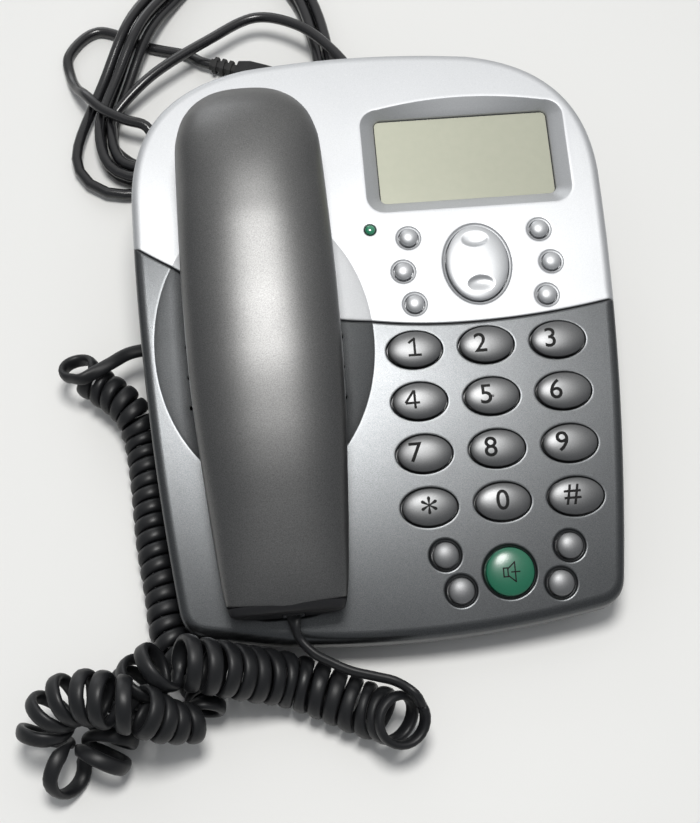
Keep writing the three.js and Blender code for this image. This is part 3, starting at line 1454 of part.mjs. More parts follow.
// Line cable: a lead out of the gland, the hank and a tail to the plug
function buildLineCable() {
  const loop = new THREE.CatmullRomCurve3(vectors(HANK_LOOP), true, "centripetal");
  loop.arcLengthDivisions = 800;
  const hankPoints = [];
  const steps = HANK_TURNS * HANK_STEPS;
  for (let i = 0; i <= steps; i += 1) {
    const turn = i / HANK_STEPS;
    const place = loop.getPointAt(turn % 1);
    const along = loop.getTangentAt(turn % 1);
    const layer = THREE.MathUtils.smoothstep(turn, HANK_TURNS / 2 - 0.25, HANK_TURNS / 2 + 0.25);
    const drift = Math.abs(turn - HANK_TURNS / 2) - HANK_TURNS / 4;
    const hump = Math.exp(-(((turn % 1) - HUMP_PLACE) ** 2) / (2 * HUMP_SPREAD ** 2));
    const bulge = BULGE * Math.exp(-((turn - BULGE_TURN) ** 2) / (2 * BULGE_SPREAD ** 2));
    const side = new THREE.Vector3(along.y, -along.x, 0);
    place.addScaledVector(side, bulge - drift * HANK_SPACING);
    place.z = CABLE_REST + HANK_SPACING * (1 - layer) + HANK_HUMP * hump;
    hankPoints.push(place);
  }
  const rings = hankPoints.map((point, i) => {
    const before = hankPoints[Math.max(i - 1, 0)];
    const after = hankPoints[Math.min(i + 1, hankPoints.length - 1)];
    return roundRing(point, after.clone().sub(before).normalize());
  });
  console.log("least gap of the hank:", leastGap(rings, HANK_SIDES, RINGS_APART));
  addPiece(phone, "cable_hank", tube(rings, HANK_SIDES), "cord");

  const first = rings[0];
  const last = rings[rings.length - 1];
  const mouth = new THREE.Vector3(acrossBase.glandX, trayRearY() + GLAND_LENGTH + GAP, GLAND_Z);
  const leadEnd = first.point.clone().addScaledVector(first.along, -GAP);
  const lead = smoothCurve([
    mouth,
    mouth.clone().setY(mouth.y + CABLE_DIAMETER),
    ...vectors(CABLE_LEAD_ROUTE),
    leadEnd.clone().addScaledVector(first.along, -CABLE_DIAMETER),
    leadEnd,
  ]);
  addPiece(phone, "cable_lead", roundTube(lead, CABLE_LEAD_STEPS), "cord");

  const tailStart = last.point.clone().addScaledVector(last.along, GAP);
  const [reliefX, reliefY, reliefZ] = RELIEF_PLACE;
  const reliefStart = new THREE.Vector3(reliefX, reliefY, reliefZ);
  const plugWay = new THREE.Vector3(Math.cos(LINE_PLUG_TURN), Math.sin(LINE_PLUG_TURN), 0);
  const tailEnd = reliefStart.clone().addScaledVector(plugWay, -GAP);
  const tail = smoothCurve([
    tailStart,
    tailStart.clone().addScaledVector(last.along, CABLE_DIAMETER),
    ...vectors(CABLE_TAIL_ROUTE),
    tailEnd.clone().addScaledVector(plugWay, -CABLE_DIAMETER),
    tailEnd,
  ]);
  addPiece(phone, "cable_tail", roundTube(tail, CABLE_TAIL_STEPS), "cord");
  buildLinePlug(reliefStart);
}

function roundRing(point, along) {
  return { point, along, wide: Z_AXIS, width: CABLE_DIAMETER, thickness: CABLE_DIAMETER };
}

function roundTube(curve, steps) {
  return tube(
    spread(steps + 1).map((t) => roundRing(curve.getPointAt(t), curve.getTangentAt(t))),
    8,
  );
}

function buildLinePlug(place) {
  const profile = [[0, 0]];
  const rib = RELIEF_LENGTH / (2 * RELIEF_RIBS + 1);
  const neck = CABLE_DIAMETER / 2 + GAP;
  profile.push([neck, 0]);
  for (let i = 0; i < RELIEF_RIBS; i += 1) {
    const start = rib * (2 * i + 1);
    profile.push([neck, start], [RELIEF_RADIUS, start], [RELIEF_RADIUS, start + rib], [neck, start + rib]);
  }
  profile.push([neck, RELIEF_LENGTH], [0, RELIEF_LENGTH]);
  const relief = turned(profile, 8).rotateY(Math.PI / 2).rotateZ(LINE_PLUG_TURN);
  addPiece(phone, "cable_relief", relief.translate(place.x, place.y, place.z), "rubber");

  const side = (width, height, x) =>
    roundedShape(width, height, height / 4)
      .getPoints(2)
      .map((point) => new THREE.Vector3(x, point.x, point.y));
  const back = RELIEF_LENGTH + GAP;
  const face = back + LINE_PLUG_LENGTH;
  const [tipWidth, tipHeight] = [LINE_PLUG_WIDTH * LINE_TIP_SHARE, LINE_PLUG_HEIGHT * LINE_TIP_SHARE];
  const body = skin([
    side(LINE_PLUG_WIDTH * LINE_SHOULDER_SHARE, LINE_PLUG_HEIGHT * LINE_SHOULDER_SHARE, back),
    side(LINE_PLUG_WIDTH, LINE_PLUG_HEIGHT, back + LINE_PLUG_WIDTH / 2),
    side(LINE_PLUG_WIDTH, LINE_PLUG_HEIGHT, face),
    side(tipWidth, tipHeight, face),
    side(tipWidth, tipHeight, face - GAP + LINE_TIP_LENGTH),
  ]);
  body.rotateZ(LINE_PLUG_TURN).translate(place.x, place.y, place.z);
  addPiece(phone, "cable_plug", body, "dark");
}

function basePlugEnd() {
  return 2 * WALL - trayWallX() + BASE_PLUG_INSIDE - PLUG_LENGTH;
}

buildCovers();
buildTray();
buildFeetAndScrews();
buildKeys();
buildInside();
buildPlunger();
buildHandset();
buildBasePlugs();
buildHandsetCord();
buildLineCable();

export default phone;
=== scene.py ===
import math

import bmesh
import bpy
import numpy as np
from mathutils import Matrix, Vector
from mathutils.geometry import delaunay_2d_cdt


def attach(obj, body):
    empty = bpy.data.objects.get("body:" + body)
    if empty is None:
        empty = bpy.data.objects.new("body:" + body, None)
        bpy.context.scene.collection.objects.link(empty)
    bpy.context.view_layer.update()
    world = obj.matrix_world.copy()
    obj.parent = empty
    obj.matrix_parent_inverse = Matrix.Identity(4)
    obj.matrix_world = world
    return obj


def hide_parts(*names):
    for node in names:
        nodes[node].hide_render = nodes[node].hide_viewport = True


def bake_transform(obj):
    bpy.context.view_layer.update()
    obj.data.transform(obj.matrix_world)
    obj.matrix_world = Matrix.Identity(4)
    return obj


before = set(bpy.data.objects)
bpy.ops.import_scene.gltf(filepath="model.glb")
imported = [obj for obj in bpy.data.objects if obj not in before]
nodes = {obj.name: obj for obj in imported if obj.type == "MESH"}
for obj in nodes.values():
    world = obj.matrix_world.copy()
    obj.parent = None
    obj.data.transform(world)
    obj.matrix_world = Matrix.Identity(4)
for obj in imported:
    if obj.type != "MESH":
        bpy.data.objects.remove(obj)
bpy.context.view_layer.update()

# ---- View, table and light ----
# The telephone stands on a pale table top and is seen from above its front edge, turned a little. A round soft
# lamp hangs over it, a wide dim one stands far behind it, and a pale room fills in the rest.
FOCAL_LENGTH, PICTURE_HEIGHT, SENSOR = 1500, 823, 36
camera_data = bpy.data.cameras.new("camera")
camera_data.sensor_width = SENSOR
camera_data.lens = SENSOR * FOCAL_LENGTH / PICTURE_HEIGHT
camera_data.clip_start, camera_data.clip_end = 0.01, 50
camera = bpy.data.objects.new("camera", camera_data)
camera.matrix_world = Matrix([
    (0.99625, 0.07395, -0.04489, -0.03934),
    (-0.08609, 0.89839, -0.43069, -0.27414),
    (0.00847, 0.43294, 0.90138, 0.54790),
    (0, 0, 0, 1),
])
bpy.context.scene.collection.objects.link(camera)
bpy.context.scene.camera = camera
bpy.context.scene.view_settings.view_transform = "Standard"


def soft_lamp(name, place, size, power, colour):
    """A round area lamp that points at the telephone."""
    data = bpy.data.lights.new(name, "AREA")
    data.shape, data.size, data.energy, data.color = "DISK", size, power, colour
    lamp = bpy.data.objects.new(name, data)
    lamp.location = place
    lamp.rotation_euler = (-Vector(place)).to_track_quat("-Z", "Y").to_euler()
    bpy.context.scene.collection.objects.link(lamp)


soft_lamp("ceiling_lamp", (-0.01, 0.04, 1.0), 0.32, 7.0, (1, 0.99, 0.97))
soft_lamp("rear_lamp", (-0.5, 1.5, 0.6), 1.0, 3.5, (0.96, 0.98, 1))


def new_nodes(tree, *kinds):
    """New nodes of a shader tree, one of each kind."""
    return [tree.nodes.new("ShaderNode" + kind) for kind in kinds]


def set_sockets(node, **values):
    """Sets a node's inputs by their names, written with _ for a space."""
    for name, value in values.items():
        node.inputs[name.replace("_", " ")].default_value = value


def linked(tree, *pairs):
    """Links outputs to inputs."""
    for start, end in pairs:
        tree.links.new(start, end)


world = bpy.data.worlds.new("pale_room")
bpy.context.scene.world = world
world.use_nodes = True
sky = world.node_tree
sky.nodes.clear()
rays, seen, seen_too, room, backdrop = new_nodes(sky, "LightPath", "Math", "Math", "Background", "Background")
direction, toward, walls, mix, out = new_nodes(sky, "TexCoord", "VectorMath", "ValToRGB", "MixShader", "OutputWorld")
seen.operation = seen_too.operation = "MAXIMUM"
set_sockets(room, Color=(0.9, 0.92, 0.95, 1), Strength=0.4)
toward.operation = "DOT_PRODUCT"
toward.inputs[1].default_value = (0.05, 0.6, 0.55)
dim, bright = walls.color_ramp.elements
dim.position, dim.color = 0.28, (0.34, 0.35, 0.36, 1)
bright.position, bright.color = 0.8, (0.95, 0.95, 0.94, 1)
linked(
    sky,
    (rays.outputs["Is Camera Ray"], seen.inputs[0]),
    (rays.outputs["Is Glossy Ray"], seen.inputs[1]),
    (seen.outputs[0], seen_too.inputs[0]),
    (rays.outputs["Is Transmission Ray"], seen_too.inputs[1]),
    (direction.outputs["Generated"], toward.inputs[0]),
    (toward.outputs["Value"], walls.inputs[0]),
    (walls.outputs[0], backdrop.inputs["Color"]),
    (seen_too.outputs[0], mix.inputs[0]),
    (room.outputs[0], mix.inputs[1]),
    (backdrop.outputs[0], mix.inputs[2]),
    (mix.outputs[0], out.inputs["Surface"]),
)


def new_material(name, colour, **shine):
    """A material with its Principled shader's own sockets set."""
    material = bpy.data.materials.new(name)
    material.use_nodes = True
    material.diffuse_color = (*colour, 1)
    set_sockets(material.node_tree.nodes["Principled BSDF"], Base_Color=(*colour, 1), **shine)
    return material


table_mesh = bpy.data.meshes.new("table_top")
table_mesh.from_pydata([(-4, -4, 0), (4, -4, 0), (4, 4, 0), (-4, 4, 0)], [], [(0, 1, 2, 3)])
table_mesh.materials.append(new_material("table_top", (0.80, 0.80, 0.785), Roughness=0.55))
table = bpy.data.objects.new("table_top", table_mesh)
bpy.context.scene.collection.objects.link(table)

# ---- Handset cord ----
# A flat four-wire cord in a satin black jacket, wound on a mandrel and set by heat into a right-handed
# curl. It leaves the handset's front end, lies in front of the housing and goes up its left side.
GAP = 0.3


def centripetal(points, closed=False):
    """A smooth curve through the points, in short even steps with the length run at each."""
    p = np.array(points, float)
    if closed:
        q = np.vstack([p[-1:], p, p[:2]])
    else:
        q = np.vstack([2 * p[:1] - p[1:2], p, 2 * p[-1:] - p[-2:-1]])
    t = np.linspace(0, 1, 60, endpoint=False)[:, None]
    run = []
    for a, b, c, d in zip(q, q[1:], q[2:], q[3:]):
        k0, k1, k2 = (math.sqrt(np.linalg.norm(v - u)) for u, v in ((a, b), (b, c), (c, d)))
        m1 = ((b - a) / k0 - (c - a) / (k0 + k1) + (c - b) / k1) * k1
        m2 = ((c - b) / k1 - (d - b) / (k1 + k2) + (d - c) / k2) * k1
        run.append(b + m1 * t + (3 * c - 3 * b - 2 * m1 - m2) * t**2 + (2 * b - 2 * c + m1 + m2) * t**3)
    run.append(p[:1] if closed else p[-1:])
    line = np.vstack(run)
    length = np.concatenate([[0], np.cumsum(np.linalg.norm(np.diff(line, axis=0), axis=1))])
    return line, length


def at_length(curve, s):
    """Points of a curve at lengths along it."""
    line, length = curve
    return np.stack([np.interp(s, length, line[:, k]) for k in range(3)], axis=-1)


def unit(v):
    return v / np.linalg.norm(v, axis=-1, keepdims=True)


def direction_at(curve, s):
    total, step = curve[1][-1], 0.4
    return unit(at_length(curve, np.clip(s + step, 0, total)) - at_length(curve, np.clip(s - step, 0, total)))


def ring_faces(ring_count, size, first=0):
    """Faces that join rings of points one after another."""
    faces = []
    for r in range(ring_count - 1):
        a = first + r * size
        faces += [(a + i, a + (i + 1) % size, a + size + (i + 1) % size, a + size + i) for i in range(size)]
    return faces


def lofted(rings):
    """Vertices and faces of rings joined one after another, the first and last closed over."""
    size = len(rings[0])
    faces = ring_faces(len(rings), size)
    faces += [tuple(range(size))[::-1], tuple((len(rings) - 1) * size + i for i in range(size))]
    return np.vstack(rings), faces


def tube(centres, wide, widths, thickness, power=2.0, sides=14):
    """Vertices and faces of a closed tube with an oval section, its width turned the way that wide points."""
    run = unit(np.gradient(centres, axis=0))
    thin = unit(np.cross(run, wide))
    flat = unit(np.cross(thin, run))
    angle = 2 * math.pi * np.arange(sides) / sides
    cos = np.sign(np.cos(angle)) * np.abs(np.cos(angle)) ** (2 / power)
    sin = np.sign(np.sin(angle)) * np.abs(np.sin(angle)) ** (2 / power)
    across = flat[:, None, :] * cos[None, :, None] * np.broadcast_to(widths, len(centres))[:, None, None] / 2
    up = thin[:, None, :] * sin[None, :, None] * thickness / 2
    return lofted(centres[:, None, :] + across + up)


def new_piece(name, verts, faces, material, sharp=None):
    """A piece from vertices in millimetres, at the origin, its edges over so many degrees left sharp."""
    mesh = bpy.data.meshes.new(name)
    mesh.from_pydata([tuple(v) for v in np.array(verts, float) * 0.001], [], faces)
    mesh.validate()
    mesh.materials.append(material)
    built = bmesh.new()
    built.from_mesh(mesh)
    bmesh.ops.recalc_face_normals(built, faces=built.faces)
    built.to_mesh(mesh)
    built.free()
    mesh.polygons.foreach_set("use_smooth", [True] * len(mesh.polygons))
    if sharp is not None:
        mesh.set_sharp_from_angle(angle=math.radians(sharp))
    piece = bpy.data.objects.new(name, mesh)
    bpy.context.scene.collection.objects.link(piece)
    return piece


def fixed_on(piece, body, slot, *stands_for):
    """Hangs a piece on the body it rides on and hides the model's pieces whose place it takes; the slot is not used.
    """
    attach(piece, body)
    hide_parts(*stands_for)


def smoothstep(x, low, high):
    """A soft step from 0 to 1 between two values."""
    t = np.clip((np.asarray(x, float) - low) / (high - low), 0, 1)
    return t * t * (3 - 2 * t)


# Noise that every surface takes its fine unevenness from: a mottled mask and a grain's normal.
grain_group = bpy.data.node_groups.new("surface_grain", "ShaderNodeTree")
for socket, kind, start in (
    ("Scale", "NodeSocketFloat", 400),
    ("Grain Height", "NodeSocketFloat", 0.00002),
    ("Blotch Scale", "NodeSocketFloat", 25),
):
    made = grain_group.interface.new_socket(socket, in_out="INPUT", socket_type=kind)
    made.default_value = start
for socket, kind in (("Grain", "NodeSocketFloat"), ("Blotch", "NodeSocketFloat"), ("Normal", "NodeSocketVector")):
    grain_group.interface.new_socket(socket, in_out="OUTPUT", socket_type=kind)
taken, given = grain_group.nodes.new("NodeGroupInput"), grain_group.nodes.new("NodeGroupOutput")
where, fine, blotch, bump = new_nodes(grain_group, "TexCoord", "TexNoise", "TexNoise", "Bump")
set_sockets(fine, Detail=2)
set_sockets(blotch, Detail=3)
set_sockets(bump, Strength=1)
linked(
    grain_group,
    (where.outputs["Object"], fine.inputs["Vector"]),
    (where.outputs["Object"], blotch.inputs["Vector"]),
    (taken.outputs["Scale"], fine.inputs["Scale"]),
    (taken.outputs["Blotch Scale"], blotch.inputs["Scale"]),
    (fine.outputs["Fac"], bump.inputs["Height"]),
    (taken.outputs["Grain Height"], bump.inputs["Distance"]),
    (fine.outputs["Fac"], given.inputs["Grain"]),
    (blotch.outputs["Fac"], given.inputs["Blotch"]),
    (bump.outputs["Normal"], given.inputs["Normal"]),
)


def grained(name, scale, height, blotch_scale, dark, light, roughness, **shine):
    """A material whose grain runs from a dark to a light colour, and whose blotches from smooth to rough."""
    material = new_material(name, light, **shine)
    tree = material.node_tree
    inputs = tree.nodes["Principled BSDF"].inputs
    grain, tone, rough = new_nodes(tree, "Group", "Mix", "MapRange")
    grain.node_tree = grain_group
    tone.data_type = "RGBA"
    set_sockets(grain, Scale=scale, Grain_Height=height, Blotch_Scale=blotch_scale)
    set_sockets(tone, A=(*dark, 1), B=(*light, 1))
    set_sockets(rough, From_Min=0.3, From_Max=0.7, To_Min=roughness[0], To_Max=roughness[1])
    linked(
        tree,
        (grain.outputs["Grain"], tone.inputs["Factor"]),
        (tone.outputs["Result"], inputs["Base Color"]),
        (grain.outputs["Blotch"], rough.inputs["Value"]),
        (rough.outputs["Result"], inputs["Roughness"]),
        (grain.outputs["Normal"], inputs["Normal"]),
    )
    return material


cord_jacket = grained(
    "cord_jacket", 2500, 0.00001, 60, (0.007, 0.0075, 0.0085), (0.013, 0.0135, 0.015), (0.36, 0.5),
    Specular_IOR_Level=0.32,
)

CORD_WIDTH, CORD_THICKNESS, JACKET_THICKNESS = 5.4, 2.8, 3.2
CURL_AXIS = [
    (-4, -146, 21.5), (-7, -143, 16.5), (-12, -140, 12.5), (-19, -136.5, 10.6), (-31, -130, 10.3),
    (-44, -124.5, 11.5), (-57, -123, 18), (-73, -121.5, 28), (-84, -120, 31), (-94, -122, 26),
    (-102, -127, 14), (-108, -136, 10.5), (-112, -146.5, 10.3), (-119.5, -151.5, 10.3), (-128, -148.5, 10.3),
    (-132.5, -141, 13), (-129.5, -133, 21), (-121.5, -129.5, 28), (-112, -131, 32), (-100, -135, 33),
    (-87, -139, 23), (-77, -137, 14), (-75, -128, 10), (-80, -117, 8), (-86.5, -105, 7.5),
    (-89, -85, 7.5), (-91.5, -65, 7.5), (-93, -40, 7.6), (-95, -23, 8), (-98, -13, 11),
    (-103, -6, 12), (-109.5, 0, 11.5), (-115, 4.5, 12.3), (-118.5, 7, 15.5), (-120, 8, 20),
]
LEAD_ROUTE = [
    (-39.3, -113.6, 27), (-34.4, -119.5, 26), (-28.6, -123, 25), (-21.6, -126.6, 24.5),
    (-12.8, -129.3, 24), (-6.2, -131.6, 24),
]
TAIL_ROUTE = [(-112.5, 2.0, 21.8), (-105.5, 6.5, 20.8), (-98, 12, 18)]
PITCH, SLIM_PITCH, STRAND = 6.3, 5.9, 5.7
RADIUS, SLIM_RADIUS = 8.6, 6.0
START_TURN, END_TURN, STEPS_A_TURN = 0.5, 0.05, 24


def curl_line():
    """Centres, width directions and widths of the curls: a helix that opens where its axis bends."""
    axis = centripetal(CURL_AXIS)
    total = axis[1][-1]
    s = np.linspace(0, total, int(total / 0.05))
    run = direction_at(axis, s)
    bend = (direction_at(axis, np.clip(s + 6, 0, total)) - direction_at(axis, np.clip(s - 6, 0, total))) / 12
    slim = smoothstep(s, 215, 245)
    radius = RADIUS + (SLIM_RADIUS - RADIUS) * slim
    outside = radius + CORD_THICKNESS / 2
    inner = np.maximum(1 - outside * np.linalg.norm(bend, axis=1), 0.25)
    here = np.maximum(PITCH + (SLIM_PITCH - PITCH) * slim, 4.1 / inner)
    turns = START_TURN + np.concatenate([[0], np.cumsum(np.diff(s) / here[:-1])])
    last = math.floor(turns[-1] - END_TURN) + END_TURN
    due = np.arange(START_TURN, last + 1e-6, 1 / STEPS_A_TURN)
    place = np.interp(due, turns, s)
    along = direction_at(axis, place)
    out_way = unit(np.stack([-along[:, 1], along[:, 0], 0 * due], axis=1))
    up_way = np.cross(along, out_way)
    angle = 2 * math.pi * due
    spoke = out_way * np.cos(angle)[:, None] + up_way * np.sin(angle)[:, None]
    bends = np.stack([np.interp(place, s, bend[:, k]) for k in range(3)], axis=1)
    spacing = np.interp(due, turns, here) * (1 - np.interp(due, turns, outside) * (spoke * bends).sum(1))
    widths = np.clip(spacing - 0.55, 2.4, STRAND)
    return at_length(axis, place) + spoke * np.interp(due, turns, radius)[:, None], along, widths


curl_centres, curl_wide, curl_widths = curl_line()
first_way = unit(curl_centres[1] - curl_centres[0])
last_way = unit(curl_centres[-1] - curl_centres[-2])

# The panel is bent to one arc; the handset and everything on the panel is placed by it. The tray's walls lean in
# from a seam under the panel to a smaller floor.
BASE_WIDTH, BASE_LENGTH = 184.0, 230.0
SEAM_DROP, SEAM_INSET, WALL, TRAY_LEAN = 8.0, 0.4, 2.5, 14.0
PANEL_RADIUS, PANEL_HEIGHT, PANEL_TILT = 1425.0, 47.6, math.radians(11.24)
ARC_Y = PANEL_RADIUS * math.sin(PANEL_TILT)
ARC_Z = PANEL_HEIGHT - PANEL_RADIUS * math.cos(PANEL_TILT)


def panel_z(y):
    return ARC_Z + np.sqrt(PANEL_RADIUS**2 - (np.asarray(y, float) - ARC_Y) ** 2)


def panel_slope(y):
    return np.arcsin((ARC_Y - np.asarray(y, float)) / PANEL_RADIUS)


def on_panel(x, y, points, turn=0.0):
    """Points given square to the panel at a place, in the telephone's frame."""
    p = np.array(points, float).reshape(-1, 3)
    c, s = math.cos(turn), math.sin(turn)
    p = np.stack([c * p[:, 0] - s * p[:, 1], s * p[:, 0] + c * p[:, 1], p[:, 2]], axis=1)
    a = float(panel_slope(y))
    ca, sa = math.cos(a), math.sin(a)
    return np.stack(
        [p[:, 0] + x, ca * p[:, 1] - sa * p[:, 2] + y, sa * p[:, 1] + ca * p[:, 2] + float(panel_z(y))], axis=1
    )


HANDSET_X, HANDSET_Y, HANDSET_TURN = -0.2399 * BASE_WIDTH, -0.0231 * BASE_LENGTH, math.radians(0.85)
HANDSET_LENGTH, HANDSET_WIDTH, HANDSET_HEIGHT = 0.8884 * BASE_LENGTH, 57.1, 36.5


def in_handset(points):
    return on_panel(HANDSET_X, HANDSET_Y, points, HANDSET_TURN)


PLUG_X, PLUG_Z, PLUG_REACH = 2, 5, 12
plug_face = in_handset([(PLUG_X, -HANDSET_LENGTH / 2 - d, PLUG_Z) for d in (2 * GAP, PLUG_REACH)])
plug_way = unit(plug_face[1] - plug_face[0])
lead_end = curl_centres[0]
lead_curve = centripetal(
    [plug_face[0] - plug_way * 3, plug_face[0], plug_face[0] + plug_way * CORD_THICKNESS, *LEAD_ROUTE,
     lead_end - first_way * CORD_WIDTH, lead_end]
)
lead_places = np.linspace(0, lead_curve[1][-1], 60)
lead_centres = at_length(lead_curve, lead_places)
turn_share = smoothstep(lead_places / lead_places[-1], 0, 0.15)[:, None]
near_curl = smoothstep(lead_places, lead_places[-1] - 14, lead_places[-1])[:, None]
lead_wide = (1 - turn_share) * np.array([1, 0, 0.0]) + turn_share * np.array([0, 0, 1.0])
lead_wide = unit(lead_wide * (1 - near_curl) + curl_wide[0] * np.sign(curl_wide[0][2]) * near_curl)


def side_x(y):
    return BASE_WIDTH / 2 - 1170 + np.sqrt(1170**2 - (np.asarray(y, float) - 0.2261 * BASE_LENGTH) ** 2)


BASE_PLUG_Y, BASE_PLUG_Z = 0.063 * BASE_LENGTH, 16
wall_share = (BASE_PLUG_Z - WALL) / (float(panel_z(BASE_PLUG_Y)) - SEAM_DROP - GAP - WALL)
wall_low = float(side_x(BASE_PLUG_Y)) * (1 - TRAY_LEAN / (BASE_WIDTH / 2))
tray_wall_x = wall_low + (float(side_x(BASE_PLUG_Y)) - SEAM_INSET - GAP - wall_low) * wall_share
tail_end = np.array([1 - tray_wall_x - GAP, BASE_PLUG_Y, BASE_PLUG_Z])
tail_curve = centripetal(
    [curl_centres[-1], curl_centres[-1] + last_way * CORD_WIDTH, *TAIL_ROUTE,
     tail_end - np.array([CORD_THICKNESS, 0, 0]), tail_end, tail_end + np.array([2.5, 0, 0])]
)
tail_places = np.linspace(0, tail_curve[1][-1], 34)[1:]
tail_centres = at_length(tail_curve, tail_places)
tail_share = smoothstep(tail_places / tail_places[-1], 0, 0.4)[:, None]
tail_wide = unit(curl_wide[-1] * (1 - tail_share) + np.array([0, 1.0, 0]) * tail_share)

cord_centres = np.vstack([curl_centres, tail_centres])
cord_wide = np.vstack([curl_wide, tail_wide])
cord_widths = np.concatenate([curl_widths, np.full(len(tail_centres), CORD_WIDTH)])
handset_cord = new_piece(
    "handset_cord", *tube(cord_centres, cord_wide, cord_widths, JACKET_THICKNESS, 2.3), cord_jacket
)
fixed_on(handset_cord, "housing", "cord", "handset_cord_curls", "handset_cord_tail")
lead_widths = np.linspace(CORD_WIDTH, curl_widths[0], len(lead_centres))
cord_lead = new_piece(
    "handset_cord_end", *tube(lead_centres, lead_wide, lead_widths, JACKET_THICKNESS, 2.3), cord_jacket
)
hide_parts("handset_cord_lead")


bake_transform(cord_lead)

# ---- Line cable ----
# A round telephone cable in a glossy black jacket. It comes out of a rubber gland in the rear wall, lies in
# four loose turns behind the housing and ends in a moulded plug with a ribbed strain relief.
CABLE_DIAMETER = 4.6
HANK_LOOP = [
    (-110, 129, 0), (-104, 108, 0), (-86, 103, 0), (-55, 116, 0), (-25, 124, 0), (-10, 141, 0),
    (-9, 163, 0), (-17, 200, 0), (-35, 225, 0), (-60, 222, 0), (-81, 200, 0), (-101, 159, 0),
]
CABLE_LEAD_ROUTE = [
    (4, 140, 17), (-5, 157, 17), (-19, 173, 16), (-38, 181, 14), (-60, 170, 14), (-88, 151, 13),
]
CABLE_TAIL_ROUTE = [
    (-100, 117, 2.6), (-93, 112, 4), (-86, 117, 9), (-89, 125.5, 13), (-98, 129.5, 13.6),
    (-108, 136, 13.6), (-115, 145, 12), (-120, 154, 6), (-123, 163, 2.6), (-124, 175, 2.5),
    (-111, 188, 2.5), (-87, 177, 2.5), (-70, 171, 3),
]
RELIEF_PLACE, PLUG_TURN = np.array([-60, 164, 4.5]), math.radians(-22)


def hank_line():
    """Centres of the hank: two turns over two, which drift apart and cross over in one hump."""
    loop = centripetal(HANK_LOOP, closed=True)
    turn = np.arange(0, 4 + 1e-9, 1 / 72)
    s = (turn % 1) * loop[1][-1]
    along = unit(at_length(loop, (s + 0.5) % loop[1][-1]) - at_length(loop, (s - 0.5) % loop[1][-1]))
    layer = smoothstep(turn, 1.75, 2.25)
    drift = np.abs(turn - 2) - 1
    hump = np.exp(-(((turn % 1) - 0.845) ** 2) / (2 * 0.045**2))
    bulge = 7 * np.exp(-((turn - 2.04) ** 2) / (2 * 0.03**2))
    side = np.stack([along[:, 1], -along[:, 0], 0 * turn], axis=1)
    place = at_length(loop, s) + side * (bulge - drift * 5.4)[:, None]
    place[:, 2] = 2.4 + 5.4 * (1 - layer) + 6.4 * hump
    return place


hank = hank_line()
hank_start, hank_end = unit(hank[1] - hank[0]), unit(hank[-1] - hank[-2])
GLAND_X, GLAND_Z, GLAND_REACH, REAR_RADIUS, REAR_LEAN = 8, 18, 12.3, 375, 10
rear_y = BASE_LENGTH / 2 - REAR_RADIUS + math.sqrt(REAR_RADIUS**2 - GLAND_X**2)
rear_share = (GLAND_Z - WALL) / (float(panel_z(BASE_LENGTH / 2)) - SEAM_DROP - WALL)
tray_rear_y = (rear_y - REAR_LEAN) + (REAR_LEAN - SEAM_INSET) * rear_share
gland_mouth = np.array([GLAND_X, tray_rear_y + GLAND_REACH, GLAND_Z])
cable_lead = centripetal(
    [gland_mouth - (0, 3, 0), gland_mouth, gland_mouth + (0, CABLE_DIAMETER, 0), *CABLE_LEAD_ROUTE,
     hank[0] - hank_start * CABLE_DIAMETER, hank[0]]
)
plug_dir = np.array([math.cos(PLUG_TURN), math.sin(PLUG_TURN), 0])
cable_tail = centripetal(
    [hank[-1], hank[-1] + hank_end * CABLE_DIAMETER, *CABLE_TAIL_ROUTE,
     RELIEF_PLACE - plug_dir * CABLE_DIAMETER, RELIEF_PLACE + plug_dir * 2]
)
lead_run = at_length(cable_lead, np.linspace(0, cable_lead[1][-1], 80)[:-1])
tail_run = at_length(cable_tail, np.linspace(0, cable_tail[1][-1], 110)[1:])
cable_centres = np.vstack([lead_run, hank, tail_run])
cable_jacket = grained(
    "cable_jacket", 900, 0.000006, 40, (0.010, 0.010, 0.011), (0.017, 0.017, 0.019), (0.16, 0.27)
)
line_cable = new_piece(
    "line_cable", *tube(cable_centres, (0, 0, 1), CABLE_DIAMETER, CABLE_DIAMETER), cable_jacket
)
fixed_on(line_cable, "housing", "cord", "cable_lead", "cable_hank", "cable_tail")

# ---- Tray, feet and screws ----
# The tray is the lower half of the housing, moulded in black plastic. Its walls lean in to a smaller floor with
# rubber feet pressed into seats, and four screws come up through it into the covers' bosses.
FRONT_RADIUS, FRONT_CORNER, REAR_CORNER = 410, 8, 46


def front_y(x):
    return FRONT_RADIUS - BASE_LENGTH / 2 - np.sqrt(FRONT_RADIUS**2 - np.asarray(x, float) ** 2)


def back_y(x):
    return BASE_LENGTH / 2 - REAR_RADIUS + np.sqrt(REAR_RADIUS**2 - np.asarray(x, float) ** 2)


def corner_point(end_y):
    """Where a side's arc meets the front's or the rear's."""
    x = BASE_WIDTH / 2
    for _ in range(6):
        x = float(side_x(end_y(x)))
    return np.array([x, float(end_y(x))])


def quadratic(a, b, c, count):
    """Points of a soft bend from a to c that heads for b."""
    t = np.linspace(0, 1, count)[:, None]
    return a * (1 - t) ** 2 + 2 * b * t * (1 - t) + c * t**2


